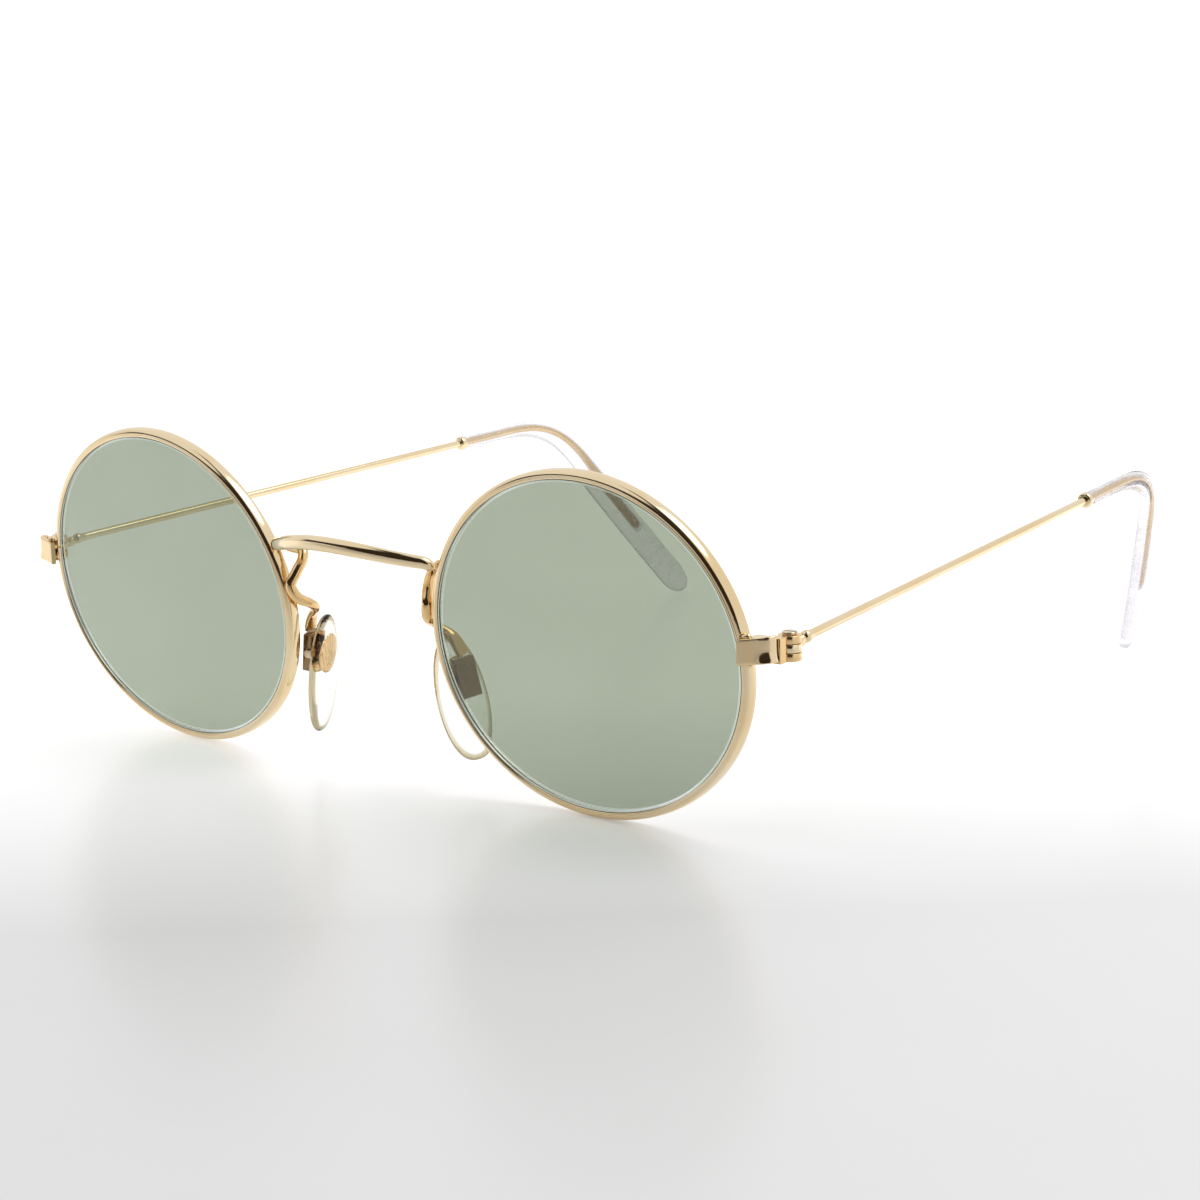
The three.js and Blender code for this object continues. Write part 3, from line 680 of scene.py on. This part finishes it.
# ---------------------------------------------------------------- endpiece, rim lock and hinge
STRAP_HALF_HEIGHT = 1.5
STRAP_THICKNESS = 0.7
STRAP_MIDDLE = 24.05
STRAP_POINTS = ((58.95, -0.16), (61.5, 0.45), (62.9, 0.8), (62.95, 2.1))  # start, bend, corner, end
STRAP_CORNER = 0.16
STRAP_FLARE = 0.22  # the curl's lower edge stands proud of its middle
STRAP_EASE = 0.2  # the ends are eased over this length
STRAP_BEADS = (  # solder at the rim, above and below the strap: centre and half sizes
    ((59.75, 0.75, 25.3), (0.62, 0.5, 0.36)),
    ((60.1, 0.85, 22.1), (0.42, 0.4, 0.32)),
)


def solder_bead(centre, half_sizes):
    """A small ellipsoid."""
    half_x, half_y, half_z = half_sizes
    rings = 12
    loops = []
    for ring in range(1, rings):
        angle = math.pi * ring / rings
        outline = ellipse(half_x * math.sin(angle), half_y * math.sin(angle), 24)
        loops.append([Vector(centre) + Vector((u, v, -half_z * math.cos(angle))) for u, v in outline])
    return skin(loops)


def strap_part():
    """A strap on the front of the rim that curls back at the hinge, rising as it goes outwards."""
    start, bend, corner, end = (Vector((x, y, 0)) for x, y in STRAP_POINTS)

    def centre_line(t):
        if t < 0.5:
            return start.lerp(bend, t * 2)
        u = t * 2 - 1
        return bend * (1 - u) ** 2 + corner * 2 * u * (1 - u) + end * u * u

    path = Path(centre_line)
    loops = []
    steps = 40
    half_thick = STRAP_THICKNESS / 2
    for i in range(steps + 1):
        distance = path.length * i / steps
        tangent = path.tangent(distance)
        inwards = Vector((-tangent.y, tangent.x, 0))
        middle = path.point(distance) + inwards * half_thick
        ease = 1 - 0.12 * max(0.0, 1 - distance / STRAP_EASE)
        ease -= 0.2 * max(0.0, 1 - (path.length - distance) / STRAP_EASE)
        rise = (middle.x - end.x) * math.tan(LENS_TURN)
        loop = []
        curl = smoothstep(distance, 1.8, 3.4)
        half_height = STRAP_HALF_HEIGHT * (0.93 + 0.07 * ease)
        for u, v in rounded_rectangle(half_thick * ease, half_height, STRAP_CORNER, between=9):
            flare = STRAP_FLARE * curl * min(v / STRAP_HALF_HEIGHT, 0) ** 2
            loop.append(middle - inwards * (u + flare) + Vector((0, 0, STRAP_MIDDLE + rise + v)))
        loops.append(loop)
    strap = skin(loops)
    return joined(strap, *[solder_bead(*bead) for bead in STRAP_BEADS])


LOCK = Vector((60.25, 2.2, 24.1))  # the rim lock screw's axis, at the height of the rim's split
LOCK_LOW, LOCK_HIGH = LOCK.z - 1.5, LOCK.z + 1.0
LOCK_HALF_WIDTH = 0.75
LOCK_HALF_DEPTH = 0.85
LOCK_HALF_GAP = 0.15


def lock_block(low, high):
    corner = Vector((LOCK_HALF_WIDTH, LOCK_HALF_DEPTH))
    near, far = LOCK.xy - corner, LOCK.xy + corner
    return rounded_block((*near, low), (*far, high), 0.12)


def at(part, x, y):
    return moved(part, lambda p: p + Vector((x, y, 0)))


def lock_screw_part():
    shank = turned_post(0.36, LOCK_LOW - 0.2, LOCK_HIGH, 0.06)
    head = turned_post(0.66, LOCK_LOW - 0.48, LOCK_LOW - 0.08, 0.1)
    return at(joined(shank, head), LOCK.x, LOCK.y)


def barrel_span(level):
    middle = HINGE.z + level * BARREL_PITCH
    return middle - BARREL_HEIGHT / 2, middle + BARREL_HEIGHT / 2


def barrel(level):
    low, high = barrel_span(level)
    return at(turned_post(BARREL_RADIUS, low, high, 0.1, 56), HINGE.x, HINGE.y)


HINGE_PLATE = ((61.5, 2.2), (63.2, 3.4))  # X and Y of its corners
HINGE_EAR = ((61.9, 3.0), (63.15, HINGE.y))  # the same for the ears between plate and outer barrels
EAR_INSET = 0.02


def front_hinge_part():
    """A plate behind the endpiece that carries the top and bottom barrels on two ears."""
    bottom, top = barrel_span(-1)[0], barrel_span(1)[1]
    parts = [rounded_block((*HINGE_PLATE[0], bottom), (*HINGE_PLATE[1], top), 0.12)]
    for level in (-1, 1):
        low, high = barrel_span(level)
        parts.append(barrel(level))
        ear_low, ear_high = (*HINGE_EAR[0], low + EAR_INSET), (*HINGE_EAR[1], high - EAR_INSET)
        parts.append(rounded_block(ear_low, ear_high, 0.08))
    return joined(*parts)


def temple_hinge_part():
    """The middle barrel and its leaf, which runs back and up to the ball end of the wire."""
    root = Vector((HINGE.x - 0.05, HINGE.y + 0.5, HINGE.z))
    neck = Vector((HINGE.x - 0.08, HINGE.y + BARREL_RADIUS + 0.25, HINGE.z + 0.02))
    end = TEMPLE_START + Vector((0, -0.5, -0.12))
    path = Path(spline([root, neck, neck.lerp(end, 0.55) + Vector((0, 0, 0.04)), end]))

    def section(distance):
        rise = smoothstep(distance / path.length, 0.4, 0.85)
        return ellipse(0.58, 0.38 + 0.24 * rise, 32, 0.7)

    leaf = swept_rod(path, section, 60, round_end=0.2)
    return joined(barrel(0), leaf)


def hinge_screw_part():
    bottom, top = barrel_span(-1)[0], barrel_span(1)[1]
    shank = turned_post(0.42, bottom - 0.35, top + 0.2, 0.08)
    head = turned_post(0.9, top + 0.08, top + 0.36, 0.1)
    return at(joined(shank, head), HINGE.x, HINGE.y)


def slot_cutter(x, y, low, high, half_length=1.0, half_width=0.1):
    """The block that a screwdriver slot is cut with."""
    corner_low = (x - half_length, y - half_width, low)
    corner_high = (x + half_length, y + half_width, high)
    return rounded_block(corner_low, corner_high, 0.02)


# ---------------------------------------------------------------- temples
TEMPLE_START = Vector((62.45, 7.9, 24.2))
TEMPLE_DIRECTION = Vector((-6.4, 71.6, 4.35)).normalized()
STRAIGHT_LENGTH = 82.0
COLLAR_AT = 72.0
WIRE_LENGTH = 114.0
WIRE_FLAT_FROM, WIRE_FLAT_TO = 94, 105
TIP_START = COLLAR_AT + 0.75
BEND_END = Vector((51.3, 104.7, 22.0))  # where the bend round the ear runs into the drop
DROP_PULL = Vector((46.6, 111.0, 11.0))  # the drop curves towards it
TIP_END = Vector((41.3, 116.9, 0.885))


def temple_point(distance):
    return TEMPLE_START + TEMPLE_DIRECTION * distance


def temple_path(first, last=None):
    """The side piece from a distance along the straight to the end: straight, round the ear, then
    down and inwards."""
    a = temple_point(STRAIGHT_LENGTH)
    b = temple_point(STRAIGHT_LENGTH + 6)
    c = temple_point(STRAIGHT_LENGTH + 11.5) + Vector((0, 0, -0.7))
    d, e = BEND_END, DROP_PULL
    steps = 120
    run = [temple_point(first).lerp(a, i / steps) for i in range(steps)]
    for i in range(steps):
        t = i / steps
        run.append(a * (1 - t) ** 3 + b * 3 * t * (1 - t) ** 2 + c * 3 * t * t * (1 - t) + d * t ** 3)
    for i in range(steps + 1):
        t = i / steps
        run.append(d * (1 - t) ** 2 + e * 2 * t * (1 - t) + TIP_END * t * t)
    path = Path(lambda t: run[round(t * (len(run) - 1))], len(run) - 1)
    if last is not None:
        whole = path
        path = Path(lambda t: whole.point(t * (last - first)))
    return path


def wire_half_sizes(distance):
    """Round with a ball end at the hinge, then beaten flat inside the tip."""
    radius = WIRE_RADIUS + 0.2 * (1 - smoothstep(distance, 0.3, 1.1))
    flat = smoothstep(distance, WIRE_FLAT_FROM, WIRE_FLAT_TO)
    return radius - 0.18 * flat, radius + 0.32 * flat


def temple_wire_part():
    lead = -0.5  # the ball end reaches forward over the leaf
    path = temple_path(lead, WIRE_LENGTH)
    return swept_rod(path, lambda d: ellipse(*wire_half_sizes(d + lead), 28), 220,
                     round_start=0.7, round_end=0.5)


def collar_part():
    """A small rolled ring at the mouth of the tip."""
    bore, half_length = WIRE_RADIUS + 0.03, 0.6
    steps = 8
    profile = [(bore, -half_length)]
    for i in range(steps + 1):
        angle = math.pi * (i / steps - 0.5)
        profile.append((0.84 + 0.24 * math.cos(angle), 0.58 * math.sin(angle)))
    profile.append((bore, half_length))
    turn = TEMPLE_DIRECTION.to_track_quat("Z", "Y").to_matrix()
    place = temple_point(COLLAR_AT)
    return moved(lathe(profile, 48), lambda p: turn @ p + place)


TIP_BORE_GAP = 0.12
TIP_RADIUS = 0.92
PADDLE_WIDER = 1.5  # added to the half width at the paddle
PADDLE_THINNER = 0.02
PADDLE_FORWARD = 0.75


def tip_half_sizes(path, distance):
    """Half sizes of the tip's outside, and how far it is shifted forwards."""
    end_round = 3.6
    paddle = smoothstep(distance / path.length, 0.1, 0.6)
    left = path.length - distance
    width = math.sqrt(max(1 - max(1 - left / end_round, 0) ** 2, 0.0004))
    thin = math.sqrt(max(1 - (1 - min(left / 0.9, 1)) ** 2, 0.0004))
    start = 0.86 + 0.14 * smoothstep(distance, 0, 0.25)
    across = (TIP_RADIUS - PADDLE_THINNER * paddle) * thin * start
    upright = (TIP_RADIUS + PADDLE_WIDER * paddle) * width * start
    return across, upright, PADDLE_FORWARD * paddle


def tip_part():
    """A clear sleeve, bored for the wire, that widens mostly forwards to a flat paddle."""
    path = temple_path(TIP_START)
    bore_end = WIRE_LENGTH + 0.6 - TIP_START

    def ring(distance, across, upright, forward, power):
        tangent = path.tangent(distance)
        side = (Vector((1, 0, 0)) - tangent * tangent.x).normalized()
        back = side.cross(tangent)
        centre = path.point(distance) - back * forward
        return [centre + side * u + back * v for u, v in ellipse(across, upright, 40, power)]

    loops = []
    stations = 200
    for i in range(stations + 1):
        distance = path.length * (1 - (1 - i / stations) ** 1.3)
        across, upright, forward = tip_half_sizes(path, distance)
        loops.append(ring(distance, across, upright, forward, 1 - 0.15 * smoothstep(distance, 4, 30)))
    loops.reverse()
    stations = 140
    for i in range(stations + 1):
        distance = bore_end * i / stations
        wire_across, wire_upright = wire_half_sizes(TIP_START + distance)
        shrink = 1 if i < stations else 0.3
        loops.append(ring(distance, (wire_across + TIP_BORE_GAP) * shrink,
                          (wire_upright + TIP_BORE_GAP) * shrink, 0, 1))
    return skin(loops)


# ---------------------------------------------------------------- nose pads
PAD_TURN = (Euler((0, 0, -PAD_TOE_IN)).to_matrix() @ Euler((0, -PAD_SPLAY, 0)).to_matrix()
            @ Euler((PAD_LEAN, 0, 0)).to_matrix())
PAD_CENTRE = Vector((-1.75, -0.5, -2.65))  # from the pin, in the pad's own frame
ARM_RADIUS = 0.58
ARM_POINTS = (  # from the rim under the bridge's end, down and round to the pad box
    (13.35, 0.95, 28.75),
    (12.7, 1.65, 28.4),
    (11.7, 2.2, 28.0),
    (11.15, 1.75, 27.0),
    (11.45, 0.8, 25.4),
    (11.85, 0.15, 23.8),
    (11.35, 0.7, 22.2),
    (10.6, 2.3, 21.2),
    (11.2, 3.6, 20.4),
    (12.5, 4.3, 19.4),
    (13.4, 4.7, 17.9),
    (13.65, 4.92, 17.12),
)


def from_pad_frame(point):
    return PAD_TURN @ Vector(point) + PAD_PIN


def pad_arm_part():
    path = Path(spline(ARM_POINTS))

    def section(distance):
        flat = smoothstep(distance / path.length, 0.7, 0.95)
        radius = ARM_RADIUS + 0.12 * (1 - smoothstep(distance / path.length, 0.5, 0.72))
        return ellipse(radius - 0.2 * flat, radius + 0.44 * flat, 28, 1 - 0.15 * flat)

    return swept_rod(path, section, 160, round_start=0.5, round_end=0.2)


BOX_LOW = Vector((-0.25, -1.4, -2.5))
BOX_HIGH = Vector((0.85, 1.4, 2.5))
BOX_WALL = 0.3


def pad_box_part():
    return moved(rounded_block(BOX_LOW, BOX_HIGH, 0.1), from_pad_frame)


def pad_box_hollow():
    low = BOX_LOW + Vector((-1, BOX_WALL, BOX_WALL))
    high = BOX_HIGH - Vector((BOX_WALL, BOX_WALL, BOX_WALL))
    return moved(rounded_block(low, high, 0.08), from_pad_frame)


def laid_along_y(part):
    return moved(part, lambda p: Vector((p.x, p.z, -p.y)))


def pad_pin_part():
    half = (BOX_HIGH.y - BOX_LOW.y) / 2
    proud = 0.25
    shank = turned_post(0.3, -half - proud, half + proud, 0.07)
    head = turned_post(0.55, -half - 0.35, -half - 0.09, 0.08)
    return moved(laid_along_y(joined(shank, head)), from_pad_frame)


def fan_plate():
    """An oval plate pressed with ribs that spread like a fan from its foot."""
    half_width, half_height, half_thick = 2.3, 2.6, 0.25
    rings, sides = 14, 96
    foot = -0.75
    rib_height = 0.1
    ribs = 22  # in a full turn

    def rib(y, z):
        angle = math.atan2(y, z / half_height - foot)
        reach = math.hypot(y, z / half_height - foot)
        return rib_height * smoothstep(reach, 0.15, 0.6) * math.cos(angle * ribs)

    loops = []
    for face in (-1, 1):
        shares = [max(i / rings, 0.01) for i in range(rings + 1)]
        if face > 0:
            shares.reverse()
        for share in shares:
            loop = []
            for i in range(sides):
                angle = 2 * math.pi * i / sides
                y, z = math.cos(angle) * share, math.sin(angle) * share
                edge = math.sqrt(max(1 - share ** 8, 0.0))
                height = (half_thick + rib(y, z)) * edge
                loop.append(Vector((PAD_CENTRE.x + 0.1 + face * height, y * half_width, z * half_height)))
            loops.append(loop)
    return skin(loops)


def pad_insert_part():
    tab = rounded_block((PAD_CENTRE.x, -0.7, -0.5), (0, 0.7, 0.5), 0.1)
    eye = laid_along_y(turned_post(0.5, -0.7, 0.7, 0.08))
    return moved(joined(fan_plate(), tab, eye), from_pad_frame)


PAD_PLACE = (PAD_TURN, from_pad_frame(PAD_CENTRE))


def nose_pad_part(sides=96, rings=64):
    """A clear pad, flatter on top and fuller below, with softly rounded edges."""
    loops = []
    for i in range(rings + 1):
        polar = math.pi * max(min(i / rings, 0.9995), 0.0005)
        up = -math.cos(polar)
        girth = math.sin(polar) ** PAD_FULLNESS
        loop = []
        for j in range(sides):
            angle = 2 * math.pi * j / sides
            out, side = math.cos(angle) * girth, math.sin(angle) * girth
            thick = math.copysign(abs(out) ** 0.72, out)
            narrow = 1 - PAD_NARROWING * up
            loop.append(Vector((thick * PAD_HALF_THICKNESS, side * narrow * PAD_HALF_WIDTH,
                                up * PAD_HALF_HEIGHT)))
        loops.append(loop)
    return skin(loops)


# ---------------------------------------------------------------- assembly
def build_object():
    add_pair("rim", rim_part(), GOLD, "gold_metal", place=LENS_PLACE)
    add_pair("lens", lens_part(), GREEN_LENS, "green_lens", sharp_angle=25, place=LENS_PLACE)
    bridge = mesh_piece("fine_bridge", *bridge_part(), 1)
    settle(bridge, GOLD, "front", "gold_metal", "bridge")

    add_pair("endpiece", strap_part(), GOLD, "gold_metal")
    add_pair("rim_lock_upper", lock_block(LOCK.z + LOCK_HALF_GAP, LOCK_HIGH), GOLD, "gold_metal")
    add_pair("rim_lock_lower", lock_block(LOCK_LOW, LOCK.z - LOCK_HALF_GAP), GOLD, "gold_metal")
    lock_slot = slot_cutter(LOCK.x, LOCK.y, LOCK_LOW - 1, LOCK_LOW - 0.3)
    add_pair("rim_lock_screw", lock_screw_part(), SCREW_GOLD, "screw_metal", cutters=[lock_slot])
    add_pair("hinge_front", front_hinge_part(), WARM_GOLD, "gold_metal")
    top = barrel_span(1)[1]
    hinge_slot = slot_cutter(HINGE.x, HINGE.y, top + 0.2, top + 1)
    add_pair("hinge_screw", hinge_screw_part(), SCREW_GOLD, "screw_metal", cutters=[hinge_slot])

    arm = "temple_arm_{side}"
    add_pair("hinge_temple", temple_hinge_part(), GOLD, "gold_metal", arm)
    add_pair("temple", temple_wire_part(), GOLD, "gold_metal", arm)
    add_pair("temple_collar", collar_part(), GOLD, "gold_metal", arm)
    add_pair("temple_tip", tip_part(), CLEAR_TIP, "clear_plastic", arm)

    add_pair("pad_arm", pad_arm_part(), WARM_GOLD, "gold_metal")
    add_pair("pad_box", pad_box_part(), DARK_GOLD, "gold_metal", cutters=[pad_box_hollow()])
    add_pair("pad_pin", pad_pin_part(), SCREW_GOLD, "screw_metal")
    add_pair("pad_insert", pad_insert_part(), WARM_GOLD, "gold_metal", "pad_{side}")
    add_pair("nose_pad", nose_pad_part(), CLEAR_PAD, "clear_plastic", "pad_{side}", place=PAD_PLACE)


# ---------------------------------------------------------------- stage, light and camera
CAMERA_AZIMUTH = math.radians(40.48)
CAMERA_ELEVATION = math.radians(11.51)
CAMERA_ROLL = math.radians(-1.9)
CAMERA_PLACE = (239.8, -234.4, 89.5)
CAMERA_LENS = 82.8  # on a sensor 36 wide
CAMERA_SHIFT = (-0.0019, 0.0045)


def view_axes():
    """The camera's right, up and backwards directions, before it is rolled."""
    a, e = CAMERA_AZIMUTH, CAMERA_ELEVATION
    right = Vector((math.cos(a), math.sin(a), 0))
    back = Vector((math.sin(a) * math.cos(e), -math.cos(a) * math.cos(e), math.sin(e)))
    return right, back.cross(right), back


def add_camera():
    right, up, back = view_axes()
    c, s = math.cos(CAMERA_ROLL), math.sin(CAMERA_ROLL)
    rolled_right = right * c + up * s
    rolled_up = up * c - right * s
    data = bpy.data.cameras.new("camera")
    data.sensor_width = 36
    data.lens = CAMERA_LENS
    data.shift_x, data.shift_y = CAMERA_SHIFT
    data.clip_start = 0.01
    camera = bpy.data.objects.new("camera", data)
    turn = Matrix((rolled_right, rolled_up, back)).transposed().to_4x4()
    camera.matrix_world = Matrix.Translation(world_point(CAMERA_PLACE, 1)) @ turn
    bpy.context.scene.collection.objects.link(camera)
    bpy.context.scene.camera = camera


def camera_axes(tree, axes):
    """Level distances of a point towards the camera and to its right."""
    x, y = axes["X"], axes["Y"]
    sine, cosine = math.sin(CAMERA_AZIMUTH), math.cos(CAMERA_AZIMUTH)
    toward = value_node(tree, "MULTIPLY_ADD", y, -cosine, value_node(tree, "MULTIPLY", x, sine))
    side = value_node(tree, "MULTIPLY_ADD", y, sine, value_node(tree, "MULTIPLY", x, cosine))
    return toward, side


FLOOR_NEAR_EDGE = 0.24  # metres from the object towards the camera, where the table ends
FLOOR_REACH = 6.0  # metres to either side and behind
GLOW_BEHIND = 0.47
GLOW_SIDE = 0.12  # added towards the right


def add_floor():
    """A pale glossy table top that ends just in front of the view. A glow stands for the bright room:
    none in front of the object, full from the object backwards."""
    right = view_axes()[0]
    towards = Vector((math.sin(CAMERA_AZIMUTH), -math.cos(CAMERA_AZIMUTH), 0))
    side_reach = right * FLOOR_REACH
    near = towards * FLOOR_NEAR_EDGE
    far = towards * -FLOOR_REACH
    corners = [near - side_reach, near + side_reach, far + side_reach, far - side_reach]
    mesh = bpy.data.meshes.new("floor")
    mesh.from_pydata(corners, [], [(0, 1, 2, 3)])
    floor = bpy.data.objects.new("floor", mesh)
    bpy.context.scene.collection.objects.link(floor)
    material, tree, shader = new_material("pale_gloss_table")
    mottle = noise_node(tree, 20, 3.0)
    share = spread(tree, mottle.outputs["Fac"], 0.3, 0.7, 0, 1)
    tree.links.new(colour_between(tree, share, (0.78, 0.78, 0.785), (0.76, 0.76, 0.765)),
                   shader.inputs["Base Color"])
    streaks = noise_node(tree, 12, 1.0)
    tree.links.new(spread(tree, streaks.outputs["Fac"], 0.0, 1.0, 0.2, 0.3), shader.inputs["Roughness"])
    toward, side = camera_axes(tree, object_axes(tree))
    glow = spread(tree, toward, 0.1, 0.0, 0, GLOW_BEHIND)
    glow = value_node(tree, "ADD", glow, spread(tree, side, -0.1, 0.15, 0, GLOW_SIDE))
    shader.inputs["Emission Color"].default_value = (1, 1, 1, 1)
    tree.links.new(glow, shader.inputs["Emission Strength"])
    mesh.materials.append(material)


def add_softbox(name, place, aim, size, power):
    data = bpy.data.lights.new(name, "AREA")
    data.shape = "DISK"
    data.size = size
    data.energy = power
    light = bpy.data.objects.new(name, data)
    light.location = place
    light.rotation_euler = (Vector(aim) - Vector(place)).to_track_quat("-Z", "Y").to_euler()
    bpy.context.scene.collection.objects.link(light)


ROOM_HEIGHT = 0.92  # sines of the angles that the dark room takes up, seen from the object
ROOM_MIDDLE = 0.2
ROOM_RIGHT = 0.55
ROOM_LEFT = 1.18


def add_world():
    """A pale studio with a dark room behind the camera, which polished wire reflects as streaks. The
    dark is highest behind the camera, narrows to both sides and isn't seen through glass."""
    world = bpy.data.worlds.new("studio")
    world.use_nodes = True
    bpy.context.scene.world = world
    tree = world.node_tree
    background = tree.nodes["Background"]
    place = tree.nodes.new("ShaderNodeTexCoord")
    split = tree.nodes.new("ShaderNodeSeparateXYZ")
    tree.links.new(place.outputs["Generated"], split.inputs["Vector"])
    toward, side = camera_axes(tree, split.outputs)
    rightness = value_node(tree, "MULTIPLY", side, 1 / ROOM_RIGHT)
    leftness = value_node(tree, "MULTIPLY", side, -1 / ROOM_LEFT)
    sideways = value_node(tree, "MAXIMUM", rightness, leftness)
    limit = value_node(tree, "MULTIPLY_ADD", sideways, -ROOM_HEIGHT, ROOM_HEIGHT)
    height = value_node(tree, "ABSOLUTE", value_node(tree, "SUBTRACT", split.outputs["Z"], ROOM_MIDDLE))
    wedge = spread(tree, value_node(tree, "SUBTRACT", limit, height), 0.0, 0.06, 0, 1)
    behind = spread(tree, toward, -0.3, -0.15, 0, 1)
    dark = value_node(tree, "MULTIPLY", wedge, behind)
    path = tree.nodes.new("ShaderNodeLightPath")
    unseen = value_node(tree, "SUBTRACT", 1.0, path.outputs["Is Camera Ray"])
    dark = value_node(tree, "MULTIPLY", dark, unseen)
    reflected = value_node(tree, "SUBTRACT", 1.0, path.outputs["Is Transmission Ray"])
    dark = value_node(tree, "MULTIPLY", dark, reflected)
    lit = colour_between(tree, unseen, (1.1, 1.1, 1.1), (0.95, 0.95, 0.95))
    tree.links.new(tinted_towards_edge(tree, lit, dark, (0.035, 0.025, 0.018)),
                   background.inputs["Color"])


build_object()
add_camera()
add_floor()
add_softbox("overhead", place=(0.35, 0.25, 0.8), aim=(0, 0, 0), size=0.5, power=2.0)
add_world()
bpy.context.scene.view_settings.view_transform = "Standard"


bpy.context.view_layer.update()
